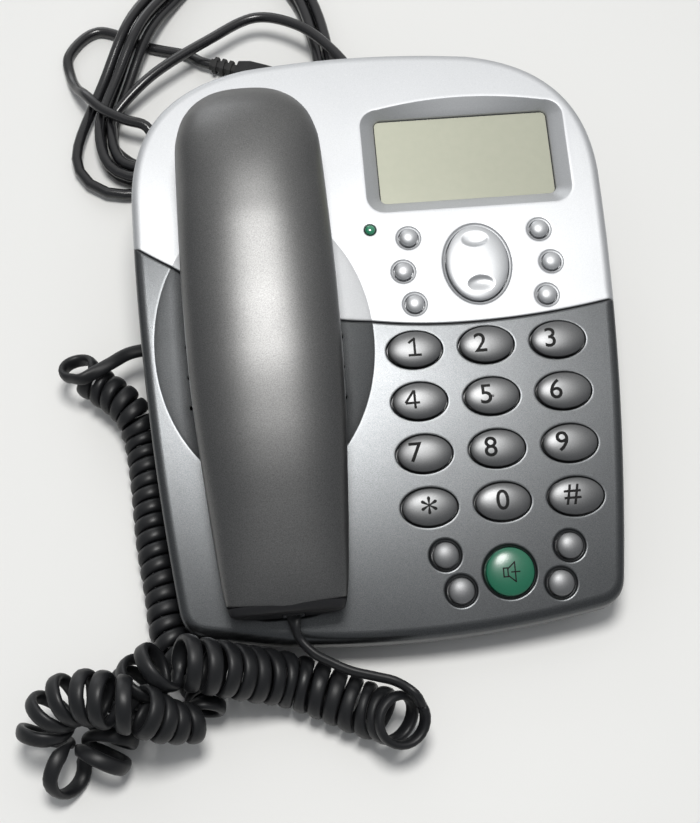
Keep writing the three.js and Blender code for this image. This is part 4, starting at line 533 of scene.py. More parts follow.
def housing_outline():
    """The housing seen from above, from the front's middle round by the right side, with its inward directions."""
    front, rear = corner_point(front_y), corner_point(back_y)
    a = np.array([front[0] - FRONT_CORNER, float(front_y(front[0] - FRONT_CORNER))])
    b = np.array([float(side_x(front[1] + FRONT_CORNER)), front[1] + FRONT_CORNER])
    c = np.array([float(side_x(rear[1] - REAR_CORNER)), rear[1] - REAR_CORNER])
    d = np.array([rear[0] - REAR_CORNER, float(back_y(rear[0] - REAR_CORNER))])
    xs = np.linspace(0, a[0], 36)
    half = [np.stack([xs, front_y(xs)], axis=1), quadratic(a, front, b, 12)[1:]]
    ys = np.linspace(b[1], c[1], 60)[1:]
    half += [np.stack([side_x(ys), ys], axis=1), quadratic(c, rear, d, 30)[1:]]
    xs = np.linspace(d[0], 0, 22)[1:]
    half.append(np.stack([xs, back_y(xs)], axis=1))
    right = np.vstack(half)
    whole = np.vstack([right, right[-2:0:-1] * [-1, 1]])
    along = unit(np.roll(whole, -1, axis=0) - np.roll(whole, 1, axis=0))
    return whole, np.stack([-along[:, 1], along[:, 0]], axis=1)


outline, outline_in = housing_outline()


FRONT_LEAN = 3


def tray_ring(inset, z):
    """The floor's smaller outline, moved inwards, at a height."""
    p = outline + outline_in * inset
    along = (p[:, 1] + BASE_LENGTH / 2) / BASE_LENGTH
    y = (FRONT_LEAN - BASE_LENGTH / 2) + along * (BASE_LENGTH - FRONT_LEAN - REAR_LEAN)
    return np.column_stack([p[:, 0] * (1 - TRAY_LEAN / (BASE_WIDTH / 2)), y, np.full(len(p), float(z))])


def tray_rim(inset):
    """The outline moved inwards, at the seam under the panel."""
    p = outline + outline_in * inset
    return np.column_stack([p, panel_z(p[:, 1]) - SEAM_DROP - GAP])


RIM_INSET = SEAM_INSET + GAP
low, high = tray_ring(0, WALL), tray_rim(RIM_INSET)
rings = [tray_ring(1.2, WALL), tray_ring(0.35, 2.75), tray_ring(0, 3.3) * 0.99 + high * 0.01]
rings += [low * (1 - t) + high * t for t in (0.25, 0.5, 0.75, 0.98)]
rings += [tray_rim(RIM_INSET + 0.15), tray_rim(RIM_INSET + WALL), tray_ring(WALL, 2 * WALL)]
SCREW_PLACES = [(-72, -102), (72, -102), (-58, 99), (58, 99)]
FOOT_PLACES = [(-58, -92), (58, -92), (-58, 86), (58, 86)]


def turned(profile, sides, x=0.0, y=0.0, z=0.0):
    """A closed turned shape about Z from (radius, height) pairs that start and end on the axis."""
    angle = 2 * math.pi * np.arange(sides) / sides
    circle = np.stack([np.cos(angle), np.sin(angle)], axis=1)
    verts, faces = [np.array([[x, y, z + profile[0][1]]])], []
    for radius, height in profile[1:-1]:
        verts.append(np.column_stack([circle * radius + (x, y), np.full(sides, z + height)]))
    verts.append(np.array([[x, y, z + profile[-1][1]]]))
    rows = len(profile) - 2
    end = 1 + rows * sides
    faces += [(0, 1 + (i + 1) % sides, 1 + i) for i in range(sides)]
    faces += ring_faces(rows, sides, 1)
    last = 1 + (rows - 1) * sides
    faces += [(end, last + i, last + (i + 1) % sides) for i in range(sides)]
    return np.vstack(verts), faces


def gathered(shapes):
    """Several shapes as one list of vertices and faces."""
    verts, faces, count = [], [], 0
    for v, f in shapes:
        verts.append(np.array(v, float))
        faces += [tuple(i + count for i in face) for face in f]
        count += len(v)
    return np.vstack(verts), faces


def moved(shape, place):
    """A shape with its points put through a function that places them."""
    return place(shape[0]), shape[1]


def block(x0, x1, y0, y1, z0, z1):
    """A box between pairs of planes."""
    v = [(x, y, z) for z in (z0, z1) for y in (y0, y1) for x in (x0, x1)]
    return v, [(0, 2, 3, 1), (4, 5, 7, 6), (0, 1, 5, 4), (2, 6, 7, 3), (0, 4, 6, 2), (1, 3, 7, 5)]


def scrapped(*pieces):
    """Removes helper objects with their meshes."""
    for piece in pieces:
        mesh = piece.data
        bpy.data.objects.remove(piece)
        bpy.data.meshes.remove(mesh)


def evaluated_mesh(piece):
    """A plain mesh of a piece as its modifiers leave it."""
    return bpy.data.meshes.new_from_object(piece.evaluated_get(bpy.context.evaluated_depsgraph_get()))


# Round holes that repeat are drilled with this tree: it stands one cylinder on every point that it is given.
hole_tree = bpy.data.node_groups.new("round_holes", "GeometryNodeTree")
for socket, kind in (
    ("Places", "Geometry"), ("Hole Radius", "Float"), ("Hole Depth", "Float"), ("Sides", "Int"),
    ("Finish", "Material"),
):
    hole_tree.interface.new_socket(socket, in_out="INPUT", socket_type="NodeSocket" + kind)
hole_tree.interface.new_socket("Drills", in_out="OUTPUT", socket_type="NodeSocketGeometry")
asked, made = hole_tree.nodes.new("NodeGroupInput"), hole_tree.nodes.new("NodeGroupOutput")
drill, stood, real, painted = (
    hole_tree.nodes.new("GeometryNode" + kind)
    for kind in ("MeshCylinder", "InstanceOnPoints", "RealizeInstances", "SetMaterial")
)
linked(
    hole_tree,
    (asked.outputs["Sides"], drill.inputs["Vertices"]),
    (asked.outputs["Hole Radius"], drill.inputs["Radius"]),
    (asked.outputs["Hole Depth"], drill.inputs["Depth"]),
    (asked.outputs["Places"], stood.inputs["Points"]),
    (drill.outputs["Mesh"], stood.inputs["Instance"]),
    (stood.outputs["Instances"], real.inputs["Geometry"]),
    (real.outputs["Geometry"], painted.inputs["Geometry"]),
    (asked.outputs["Finish"], painted.inputs["Material"]),
    (painted.outputs["Geometry"], made.inputs["Drills"]),
)


def drills(places, radius, low, high, sides, finish):
    """Cylinders between two heights at (x, y) places, set out by the tree, as one shape in millimetres."""
    points = new_piece("drill_places", [(x, y, (low + high) / 2) for x, y in places], [], finish)
    step = points.modifiers.new("drills", "NODES")
    step.node_group = hole_tree
    sizes = {"Hole Radius": radius * 0.001, "Hole Depth": (high - low) * 0.001, "Sides": sides, "Finish": finish}
    for name, value in sizes.items():
        step[hole_tree.interface.items_tree[name].identifier] = value
    mesh = evaluated_mesh(points)
    points.modifiers.remove(step)
    shape = np.array([tuple(v.co) for v in mesh.vertices]) * 1000, [tuple(f.vertices) for f in mesh.polygons]
    bpy.data.meshes.remove(mesh)
    scrapped(points)
    return shape


def cut(piece, shapes):
    """Cuts shapes out of a piece for good."""
    cutter = new_piece("cutter", *gathered(shapes), piece.data.materials[0])
    step = piece.modifiers.new("cut", "BOOLEAN")
    step.operation, step.solver, step.object = "DIFFERENCE", "EXACT", cutter
    mesh = evaluated_mesh(piece)
    piece.modifiers.remove(step)
    old, piece.data = piece.data, mesh
    mesh.name = old.name
    bpy.data.meshes.remove(old)
    scrapped(cutter)
    mesh.polygons.foreach_set("use_smooth", [True] * len(mesh.polygons))
    mesh.set_sharp_from_angle(angle=math.radians(40))


black_plastic = grained(
    "black_plastic", 1400, 0.00002, 30, (0.007, 0.007, 0.008), (0.016, 0.016, 0.018), (0.45, 0.6),
    Specular_IOR_Level=0.3,
)
tray = new_piece("tray", *lofted(rings), black_plastic, sharp=40)
SOCKET_HALF, SOCKET_TALL = 4.15, 7.2
cut(tray, [
    block(-tray_wall_x - 7, -tray_wall_x + 7, BASE_PLUG_Y - SOCKET_HALF, BASE_PLUG_Y + SOCKET_HALF,
          BASE_PLUG_Z - SOCKET_TALL / 2, BASE_PLUG_Z + SOCKET_TALL / 2),
    drills(SCREW_PLACES, 3.15, 1, 9, 32, black_plastic),
    drills(FOOT_PLACES, 7.6, 1, 3.5, 48, black_plastic),
])
fixed_on(tray, "housing", "dark", "base_tray")

# ---- Covers ----
# Two thin sprayed shells that clip over the tray and meet in a fine groove: a silver one behind, a grey one
# in front. Both are one panel bent to a wide arc, with the finger dish, pockets and key holes moulded in.
GROOVE_HALF = 0.22


def groove_y(x):
    """The groove between the covers: two arcs that meet at its lowest place."""
    x, lowest = np.asarray(x, float), 0.1739 * BASE_WIDTH
    radius = np.where(x < lowest, 215.0, 324.0)
    return -0.0039 * BASE_LENGTH + radius - np.sqrt(radius**2 - (x - lowest) ** 2)


def groove_slope(x):
    xs = np.linspace(-94, 94, 400)
    return np.interp(x, xs, np.gradient(groove_y(xs), xs))


def arc_of(y):
    """The length along the panel's arc at a place, with y_of_arc to turn it back."""
    return PANEL_RADIUS * (PANEL_TILT - panel_slope(y))


def y_of_arc(t):
    return ARC_Y - PANEL_RADIUS * np.sin(PANEL_TILT - np.asarray(t, float) / PANEL_RADIUS)


def oval_offset(u, v, a, b):
    """How far outside an oval points lie, by the oval grown evenly that they lie on."""
    o = np.hypot(u, v) - (a + b) / 2
    o = np.maximum(o, -0.8 * min(a, b))
    for _ in range(12):
        f = (u / (a + o)) ** 2 + (v / (b + o)) ** 2 - 1
        slope = -2 * (u**2 / (a + o) ** 3 + v**2 / (b + o) ** 3)
        o = np.maximum(o - f / np.where(np.abs(slope) < 1e-9, -1e-9, slope), -0.9 * min(a, b))
    return o


def box_offset(u, v, a, b, corner):
    """How far outside a rounded rectangle points lie."""
    qx, qy = np.abs(u) - (a - corner), np.abs(v) - (b - corner)
    return np.hypot(np.maximum(qx, 0), np.maximum(qy, 0)) + np.minimum(np.maximum(qx, qy), 0) - corner


def oval_ring(a, b, count):
    angle = 2 * math.pi * np.arange(count) / count
    return np.stack([a * np.cos(angle), b * np.sin(angle)], axis=1)


def box_ring(a, b, corner):
    ring = []
    for k, (sx, sy) in enumerate(((1, 1), (-1, 1), (-1, -1), (1, -1))):
        angle = math.pi / 2 * (k + np.linspace(0, 1, 12))
        arc = corner * np.column_stack([np.cos(angle), np.sin(angle)])
        ring.append(arc + (sx * (a - corner), sy * (b - corner)))
    return np.vstack(ring)


class Recess:
    """One hollow in the panel: where it is, how far a point is outside its edge, and its depth by that distance."""

    def __init__(self, x, y, ring, offset, profile, hole=None, turn=0.0):
        self.x, self.t, self.turn = x, float(arc_of(y)), turn
        self.ring, self.offset = ring, offset
        self.profile = sorted(profile)
        self.hole = hole

    def depth(self, x, t):
        """The depth at points, and how far they are outside the edge."""
        c, s = math.cos(self.turn), math.sin(self.turn)
        u, v = x - self.x, t - self.t
        o = self.offset(c * u + s * v, c * v - s * u)
        return np.interp(o, [p[0] for p in self.profile], [p[1] for p in self.profile]), o

    def rings(self):
        c, s = math.cos(self.turn), math.sin(self.turn)
        wanted = [o for o, _ in self.profile if self.hole is None or o >= self.hole - 1e-6]
        return [self.ring(o) @ np.array([(c, s), (-s, c)]) + (self.x, self.t) for o in wanted]


def oval_recess(x, y, a, b, profile, count):
    return Recess(x, y, lambda o: oval_ring(a + o, b + o, count), lambda u, v: oval_offset(u, v, a, b), profile, 0.0)


def box_recess(x, y, a, b, corner, profile, hole=None, turn=0.0):
    return Recess(
        x, y, lambda o: box_ring(a + o, b + o, max(corner + o, 0.05)),
        lambda u, v: box_offset(u, v, a, b, corner), profile, hole, turn,
    )


KEY_X, KEY_PITCH_X, KEY_PITCH_Y = 0.2158 * BASE_WIDTH, 0.1489 * BASE_WIDTH, 0.0878 * BASE_LENGTH
KEY_WIDTH, KEY_HEIGHT = 0.1109 * BASE_WIDTH, 0.0604 * BASE_LENGTH
FIRST_ROW_SLOPE = float(panel_slope(-0.0448 * BASE_LENGTH))
KEY_NAMES = ["1", "2", "3", "4", "5", "6", "7", "8", "9", "star", "0", "hash"]
KEY_PLACES = {
    name: (
        KEY_X + KEY_PITCH_X * (i % 3 - 1),
        ARC_Y - PANEL_RADIUS * math.sin(FIRST_ROW_SLOPE + KEY_PITCH_Y * (i // 3) / PANEL_RADIUS),
    )
    for i, name in enumerate(KEY_NAMES)
}
ROUND_PLACES = {
    "silver_button_left_1": (-0.1386, 0.1487), "silver_button_left_2": (-0.156, 0.0904),
    "silver_button_left_3": (-0.1386, 0.033), "silver_button_right_1": (0.1386, 0.1487),
    "silver_button_right_2": (0.156, 0.0904), "silver_button_right_3": (0.1386, 0.033),
    "function_button_left_1": (-0.1255, -0.3778), "function_button_left_2": (-0.1005, -0.4343),
    "function_button_right_1": (0.1255, -0.3778), "function_button_right_2": (0.1005, -0.4343),
    "speaker_key": (0, -0.4109),
}
ROUND_PLACES = {name: (KEY_X + x * BASE_WIDTH, y * BASE_LENGTH) for name, (x, y) in ROUND_PLACES.items()}
SMALL, FUNCTION, SPEAKER = 6.9, 9.5, 17.8
ROCKER_PLACE, ROCKER_WIDTH, ROCKER_HEIGHT = (KEY_X, 0.0957 * BASE_LENGTH), 0.1293 * BASE_WIDTH, 0.1313 * BASE_LENGTH
LAMP_PLACE, LAMP_WIDTH = (-0.0016 * BASE_WIDTH, 0.1678 * BASE_LENGTH), 3.9
SCREEN_PLACE = 0.2174 * BASE_WIDTH, 0.2992 * BASE_LENGTH
SCREEN_WIDTH, SCREEN_HEIGHT = 0.3804 * BASE_WIDTH, 0.1591 * BASE_LENGTH
DISH_PLACE, DISH_HALF = (-0.2402 * BASE_WIDTH, -0.0161 * BASE_LENGTH), (0.2261 * BASE_WIDTH, 0.2448 * BASE_LENGTH)
CLEARANCE = 0.4

plain_edge = [(0, 0.5), (0.12, 0.2), (0.3, 0.05), (0.5, 0), (1.1, 0)]


def dished_edge(width, deep):
    """A key hole's edge at the bottom of a shallow ring, so wide and deep."""
    ring = [(0.35, 0.93), (0.7, 0.55), (0.92, 0.14), (1.1, 0)]
    ring = [(0.3 + width * share, deep * level) for share, level in ring]
    return [(0, 0.3 + deep), (0.12, 0.08 + deep), (0.3, deep), *ring, (ring[-1][0] + 0.6, 0)]


recesses = []
for x, y in KEY_PLACES.values():
    recesses.append(oval_recess(x, y, KEY_WIDTH / 2 + CLEARANCE, KEY_HEIGHT / 2 + CLEARANCE, plain_edge, 80))
RINGS = {"silver": (SMALL, 9.991, 0.4), "function": (FUNCTION, 12.402, 0.75), "speaker": (SPEAKER, 20.406, 0.75)}
for name, (x, y) in ROUND_PLACES.items():
    width, ring_width, deep = RINGS[name.split("_")[0]]
    hole = width / 2 + CLEARANCE
    recesses.append(oval_recess(x, y, hole, hole, dished_edge(ring_width / 2 - hole - 0.3, deep), 64))
rocker_hole = ROCKER_WIDTH / 2 + CLEARANCE, ROCKER_HEIGHT / 2 + CLEARANCE
recesses.append(oval_recess(*ROCKER_PLACE, *rocker_hole, dished_edge(1.0, 0.6), 96))
lamp_hole = LAMP_WIDTH / 2 + GAP
recesses.append(oval_recess(*LAMP_PLACE, lamp_hole, lamp_hole, plain_edge[:3] + [(0.45, 0), (0.9, 0)], 40))

# the finger dish is an oval bowl whose depth goes by the share of its half sizes
DISH_PROFILE = [
    (0.0, 5.2), (0.35, 4.8), (0.5, 4.15), (0.6, 3.6), (0.7, 2.9), (0.8, 2.1), (0.9, 1.15), (0.95, 0.62),
    (0.975, 0.34), (0.99, 0.16), (0.997, 0.07), (1.001, 0.02), (1.005, 0), (1.022, 0),
]
dish = Recess(
    *DISH_PLACE,
    lambda o: oval_ring((1 + o) * DISH_HALF[0], (1 + o) * DISH_HALF[1], 180),
    lambda u, v: np.hypot(u / DISH_HALF[0], v / DISH_HALF[1]) - 1,
    [(share - 1, depth) for share, depth in DISH_PROFILE if share],
)
recesses.append(dish)


def pocket_profile(depth):
    """A handset pocket's flat bottom and soft sides."""
    return [(-2.6, depth), (-2.0, depth - 0.25), (-1.6, depth - 0.8), (-0.9, depth * 0.55), (-0.25, depth * 0.2),
            (0.1, 0.25), (0.6, 0), (1.2, 0)]


def along_handset(offset):
    """A place on the panel under the handset's middle line."""
    reach = offset / math.cos(float(panel_slope(HANDSET_Y)))
    return HANDSET_X - math.sin(HANDSET_TURN) * reach, HANDSET_Y + offset


POCKETS = [(0.373, 48, 0.205, 7), (-0.3851, 42, 0.206, 5.5)]
for place, width, length, depth in POCKETS:
    x, y = along_handset(place * HANDSET_LENGTH)
    half_length = length * HANDSET_LENGTH / 2
    recesses.append(box_recess(x, y, width / 2, half_length, 15, pocket_profile(depth), turn=HANDSET_TURN))
PLUNGER_PLACE = along_handset(0.4328 * HANDSET_LENGTH)
recesses.append(oval_recess(*PLUNGER_PLACE, 6.4, 3.9, [(0, 0), (0.3, 0)], 40))
for i, share in enumerate((0.726, 0.721, 0.714, 0.505)):
    y = -0.0096 * BASE_LENGTH - 0.0513 * BASE_LENGTH * i
    recesses.append(box_recess(DISH_PLACE[0], y, share * DISH_HALF[0], 1, 0.95, [(0, 0), (0.25, 0)], hole=0))


def frame_ring(share, count=14):
    """The display's frame, from its outer edge at 0 to its window at 1."""
    mix = lambda a, b: a + (b - a) * share
    half, corner = mix(0.4391 * BASE_WIDTH / 2, SCREEN_WIDTH / 2), mix(7, 3)
    below, above = mix(0.1027 * BASE_LENGTH, SCREEN_HEIGHT / 2), mix(0.09 * BASE_LENGTH, SCREEN_HEIGHT / 2)
    arch = 0.0157 * BASE_LENGTH * (1 - share) + 0.05 * share
    angle = np.linspace(0, math.pi / 2, count)
    t = np.linspace(0, 1, 42)[1:-1, None]
    a, b = np.array([half - corner, above]), np.array([corner - half, above])
    top = a * (1 - t) ** 2 + 2 * np.array([0, above + 2 * arch]) * t * (1 - t) + b * t**2
    arcs = [
        (half - corner, corner - below, angle - math.pi / 2),
        (half - corner, above - corner, angle),
        (corner - half, above - corner, angle + math.pi / 2),
        (corner - half, corner - below, angle + math.pi),
    ]
    made = [np.stack([x + corner * np.cos(k), y + corner * np.sin(k)], axis=1) for x, y, k in arcs]
    return np.vstack([made[0], made[1], top, made[2], made[3]])


def grown(ring, by):
    """A ring moved outwards."""
    along = unit(np.roll(ring, -1, axis=0) - np.roll(ring, 1, axis=0))
    return ring + np.stack([along[:, 1], -along[:, 0]], axis=1) * by


screen_t = float(arc_of(SCREEN_PLACE[1]))
outer_frame, window = frame_ring(0), frame_ring(1)
frame_rings = [(grown(outer_frame, 1.3), 0), (grown(outer_frame, 0.3), 0), (grown(outer_frame, 0.08), 0.05)]
frame_rings += [(frame_ring(s), 4.3 * s + 0.1 * (1 - s)) for s in (0.02, 0.3, 0.6, 0.94)]
frame_rings += [(frame_ring(0.985), 4.32), (window, 4.7)]
frame_rings = [(ring + (SCREEN_PLACE[0], screen_t), depth) for ring, depth in frame_rings]


def inside(ring, x, y):
    """Which points lie inside a closed ring."""
    hit = np.zeros(len(x), bool)
    for (x0, y0), (x1, y1) in zip(ring, np.roll(ring, -1, axis=0)):
        if y0 == y1:
            continue
        crossing = (y0 > y) != (y1 > y)
        hit ^= crossing & (x < (x1 - x0) * (y - y0) / (y1 - y0) + x0)
    return hit


def outline_distance(x, y):
    """How far inside the outline points lie, and the inward direction there."""
    p = np.stack([x, y], axis=1)
    best, which = np.full(len(p), 1e9), np.zeros((len(p), 2))
    nxt = np.roll(outline, -1, axis=0)
    for i, (a, b) in enumerate(zip(outline, nxt)):
        ab = b - a
        s = np.clip(((p - a) @ ab) / (ab @ ab), 0, 1)
        d = np.linalg.norm(p - a - s[:, None] * ab, axis=1)
        near = d < best
        best[near] = d[near]
        n = outline_in[i] * (1 - s[:, None]) + outline_in[(i + 1) % len(outline)] * s[:, None]
        which[near] = n[near]
    return best, unit(which)


def panel_mesh():
    """The whole panel as flat triangles over (x, arc), with depths: edges follow every ring of every feature."""
    points, edges, fixed = [], [], []

    def add(ring, depth=None, closed=True):
        start = len(points)
        points.extend(tuple(p) for p in ring)
        fixed.extend([depth] * len(ring))
        count = len(ring)
        edges.extend((start + i, start + (i + 1) % count) for i in range(count if closed else count - 1))

    for inset in (0, 0.23, 0.88, 1.85, 3.0, 3.9):
        p = outline + outline_in * inset
        add(np.column_stack([p[:, 0], arc_of(p[:, 1])]))
    gx = np.linspace(-BASE_WIDTH / 2 - 2, BASE_WIDTH / 2 + 2, 150)
    for off in (0.0, 0.1, 0.35, 0.95):
        for side in (-1, 1):
            slope = np.gradient(groove_y(gx), gx)
            gy = groove_y(gx) + side * (GROOVE_HALF + off) * np.sqrt(1 + slope**2)
            add(np.column_stack([gx, arc_of(gy)]), closed=False)
    for recess in recesses:
        for ring in recess.rings():
            add(ring)
    for ring, depth in frame_rings:
        add(ring, depth)
    xs, ts = np.meshgrid(np.arange(-92, 93, 4.0), np.arange(-118, 120, 4.0))
    x, t = xs.ravel(), ts.ravel()
    keep = inside(np.column_stack([outline[:, 0], arc_of(outline[:, 1])]), x, t)
    x, t = x[keep], t[keep]
    keep = outline_distance(x, y_of_arc(t))[0] > 5.2
    keep &= np.abs(y_of_arc(t) - groove_y(x)) > 2.4
    keep &= ~inside(frame_rings[0][0], x, t)
    for recess in recesses:
        if recess is not dish:
            keep &= recess.depth(x, t)[1] > recess.profile[-1][0] + 1.0
        else:
            o = recess.depth(x, t)[1]
            keep &= (o < -0.3) | (o > 0.045)
    start = len(points)
    points.extend(zip(x[keep], t[keep]))
    fixed.extend([None] * int(keep.sum()))
    verts, _, faces, origin, _, _ = delaunay_2d_cdt([Vector(p) for p in points], edges, [], 0, 1e-5)
    flat = np.array([tuple(v) for v in verts])
    tris = np.array([tuple(f) for f in faces])
    explicit = np.full(len(flat), np.nan)
    for i, sources in enumerate(origin):
        for s in sources:
            if fixed[s] is not None:
                explicit[i] = fixed[s]
    return flat, tris, explicit


flat, tris, explicit = panel_mesh()
flat_y = y_of_arc(flat[:, 1])
edge_distance, edge_inward = outline_distance(flat[:, 0], flat_y)
depth = np.zeros(len(flat))
for recess in recesses:
    d, o = recess.depth(flat[:, 0], flat[:, 1])
    if recess.profile[0][0] >= 0:
        d = np.where(o < recess.profile[0][0] - 1e-3, 0, d)
    depth = np.maximum(depth, d)
off_groove = np.abs(flat_y - groove_y(flat[:, 0])) / np.sqrt(1 + groove_slope(flat[:, 0]) ** 2)
depth = depth + np.interp(off_groove - GROOVE_HALF, [0, 0.1, 0.35, 5], [0.35, 0.12, 0, 0])
depth = np.where(np.isnan(explicit), depth, explicit)
rounding = 3 - np.sqrt(np.maximum(9 - np.maximum(3 - edge_distance, 0) ** 2, 0))


def panel_points(x, t, deep, drop):
    """Places on the panel, this deep along its square and this far straight down."""
    a = PANEL_TILT - t / PANEL_RADIUS
    return np.column_stack(
        [x, ARC_Y - (PANEL_RADIUS - deep) * np.sin(a), ARC_Z + (PANEL_RADIUS - deep) * np.cos(a) - drop]
    )


top_points = panel_points(flat[:, 0], flat[:, 1], depth, rounding)
shift = np.interp(edge_distance, [0, 3, 4], [WALL, 0.4, 0])
plan = np.column_stack([flat[:, 0], flat_y])
under = plan + edge_inward * shift[:, None]
under_drop = np.interp(edge_distance, [0, 3], [1.5, 0])
under_points = panel_points(under[:, 0], arc_of(under[:, 1]), depth + WALL, under_drop)
centre = flat[tris].mean(axis=1)
centre_y = y_of_arc(centre[:, 1])
kept = inside(np.column_stack([outline[:, 0], arc_of(outline[:, 1])]), centre[:, 0], centre[:, 1])
for recess in recesses:
    if recess.hole is not None:
        kept &= recess.depth(centre[:, 0], centre[:, 1])[1] > recess.hole
kept &= ~inside(frame_rings[-1][0], centre[:, 0], centre[:, 1])
side_of = centre_y - groove_y(centre[:, 0])
groove_reach = 0.999 * GROOVE_HALF * np.sqrt(1 + groove_slope(centre[:, 0]) ** 2)


def cover(name, keep, material):
    """A closed shell from the panel's triangles on one side of the groove."""
    chosen = tris[keep]
    area = np.cross(flat[chosen[:, 1]] - flat[chosen[:, 0]], flat[chosen[:, 2]] - flat[chosen[:, 0]])
    chosen = np.where(area[:, None] < 0, chosen[:, ::-1], chosen)
    chosen = chosen[np.abs(area) > 1e-9]
    used, inverse = np.unique(chosen, return_inverse=True)
    chosen = inverse.reshape(-1, 3)
    count = len(used)
    verts = [top_points[used], under_points[used]]
    faces = [tuple(f) for f in chosen.tolist()] + [tuple(int(i) + count for i in f[::-1]) for f in chosen.tolist()]
    half_edges = set()
    for a, b, c in chosen.tolist():
        half_edges |= {(a, b), (b, c), (c, a)}
    border = [(a, b) for a, b in half_edges if (b, a) not in half_edges]
    extra, place = {}, []

    def skirt(i, row):
        if (i, row) not in extra:
            x, y = plan[used[i]] + edge_inward[used[i]] * (SEAM_INSET, SEAM_INSET + WALL)[row]
            extra[i, row] = 2 * count + len(place)
            place.append((x, y, float(panel_z(y)) - SEAM_DROP))
        return extra[i, row]

    for a, b in border:
        if edge_distance[used[a]] < 0.02 and edge_distance[used[b]] < 0.02:
            a1, b1, a2, b2 = skirt(a, 0), skirt(b, 0), skirt(a, 1), skirt(b, 1)
            faces += [(b, a, a1, b1), (b1, a1, a2, b2), (b2, a2, a + count, b + count)]
        else:
            faces.append((b, a, a + count, b + count))
    verts.append(np.array(place).reshape(-1, 3))
    return new_piece(name, np.vstack(verts), faces, material, sharp=48)


silver_paint = grained(
    "silver_paint", 3200, 0.000014, 12, (0.40, 0.41, 0.425), (0.56, 0.57, 0.585), (0.48, 0.56),
    Metallic=0.8, Coat_Weight=0.15, Coat_Roughness=0.2,
)
grey_paint = grained(
    "grey_paint", 3000, 0.00002, 12, (0.035, 0.038, 0.041), (0.125, 0.129, 0.133), (0.27, 0.33),
    Metallic=0.9,
)
silver_cover = cover("silver_cover", kept & (side_of > groove_reach), silver_paint)
grey_cover = cover("grey_cover", kept & (side_of < -groove_reach), grey_paint)
fixed_on(silver_cover, "housing", "silver", "upper_cover")
fixed_on(grey_cover, "housing", "grey", "lower_cover")

# ---- Display ----
# A clear plastic window laid in the frame from below, over the pale grey-green liquid crystal glass. The module
# behind it stays as the model has it.
lens_glass = grained(
    "display_window", 300, 0.000002, 14, (0.385, 0.395, 0.31), (0.42, 0.425, 0.335), (0.16, 0.26),
    Coat_Weight=0.8, Coat_Roughness=0.04,
)
glass_tree = lens_glass.node_tree
glass_colour = glass_tree.nodes["Principled BSDF"].inputs["Base Color"]
# Painted light: the glass's colour is multiplied by a ramp across X, lighter toward the window's left end and darker
# toward its right, a painted shading of how the light falls across it.
where, across, painted_light_falloff, painted_light_tint = new_nodes(glass_tree, "TexCoord", "SeparateXYZ", "MapRange", "Mix")
painted_light_tint.data_type, painted_light_tint.blend_type = "RGBA", "MULTIPLY"
set_sockets(painted_light_tint, Factor=1)
set_sockets(painted_light_falloff, From_Min=0.01, From_Max=0.075, To_Min=1.22, To_Max=0.97)
linked(
    glass_tree,
    (where.outputs["Object"], across.inputs[0]),
    (across.outputs["X"], painted_light_falloff.inputs["Value"]),
    (glass_colour.links[0].from_socket, painted_light_tint.inputs["A"]),
    (painted_light_falloff.outputs["Result"], painted_light_tint.inputs["B"]),
    (painted_light_tint.outputs["Result"], glass_colour),
)


def window_ring(inset):
    return box_ring((SCREEN_WIDTH + 3) / 2 - inset, (SCREEN_HEIGHT + 3) / 2 - inset, max(4 - inset, 0.5))


lens_levels = [(0.5, -7.1), (0.1, -7.0), (0, -6.7), (0, -5.8), (0.1, -5.6), (0.4, -5.5), (1.95, -5.5), (4, -5.5)]
lens_rings = [(window_ring(inset), z) for inset, z in lens_levels]
lens_rings = [on_panel(*SCREEN_PLACE, np.column_stack([ring, np.full(len(ring), z)])) for ring, z in lens_rings]
lens = new_piece("display_window", *lofted(lens_rings), lens_glass, sharp=30)
lens.data.materials.append(black_plastic)
BORDER_ROW, row_size = 5, len(lens_rings[0])
for face in lens.data.polygons[BORDER_ROW * row_size : (BORDER_ROW + 1) * row_size]:
    face.material_index = 1
fixed_on(lens, "housing", "lens", "display_lens")

# ---- Digit keys ----
# Twelve oval caps moulded in metallic grey plastic on one rubber mat, each with a flange under the cover that
# keeps it in. The digits are pad-printed in black on the domes.
FLANGE_TOP = -2.8
ink = grained(
    "black_ink", 2000, 0.000004, 30, (0.003, 0.003, 0.003), (0.008, 0.008, 0.008), (0.5, 0.65),
    Specular_IOR_Level=0.15,
)
button_plastic = grained(
    "button_plastic", 2600, 0.00001, 40, (0.11, 0.112, 0.115), (0.165, 0.167, 0.17), (0.34, 0.42),
    Metallic=0.85,
)


def dome_height(share, rise, edge, power, bulge):
    """The dome's height over the panel, by the share of its half width."""
    s = np.clip(np.asarray(share, float), 0, 1)
    return rise * (edge + (1 - edge) * (1 - s**power) ** bulge)


def cap_shape(width, height, dome, sides, rows=16, play=0.0, flange=1.1, press=None):
    """A cap with its flange: vertices and faces square to the panel at the origin."""
    half, top, (rise, edge) = width / 2, FLANGE_TOP - play, dome[:2]
    reach = half + 1.5
    profile = [(0, top - flange), (reach - 0.1, top - flange), (reach, top - flange + 0.1), (reach, top - 0.1)]
    profile += [(reach - 0.1, top), (half, top), (half, top + 0.2), (half, rise * edge * 0.7)]
    shares = np.sin(np.linspace(0, math.pi / 2, rows))[:0:-1]
    profile += [(half * s, float(dome_height(s, *dome))) for s in shares]
    profile += [(half * 0.05, rise * 0.9999), (0, rise)]
    verts, faces = turned(profile, sides)
    verts = verts * [1, height / width, 1]
    if press is not None:
        raised = verts[:, 2] > rise * edge * 0.8
        verts[raised, 2] -= press(verts[raised, 0], verts[raised, 1])
    return verts, faces


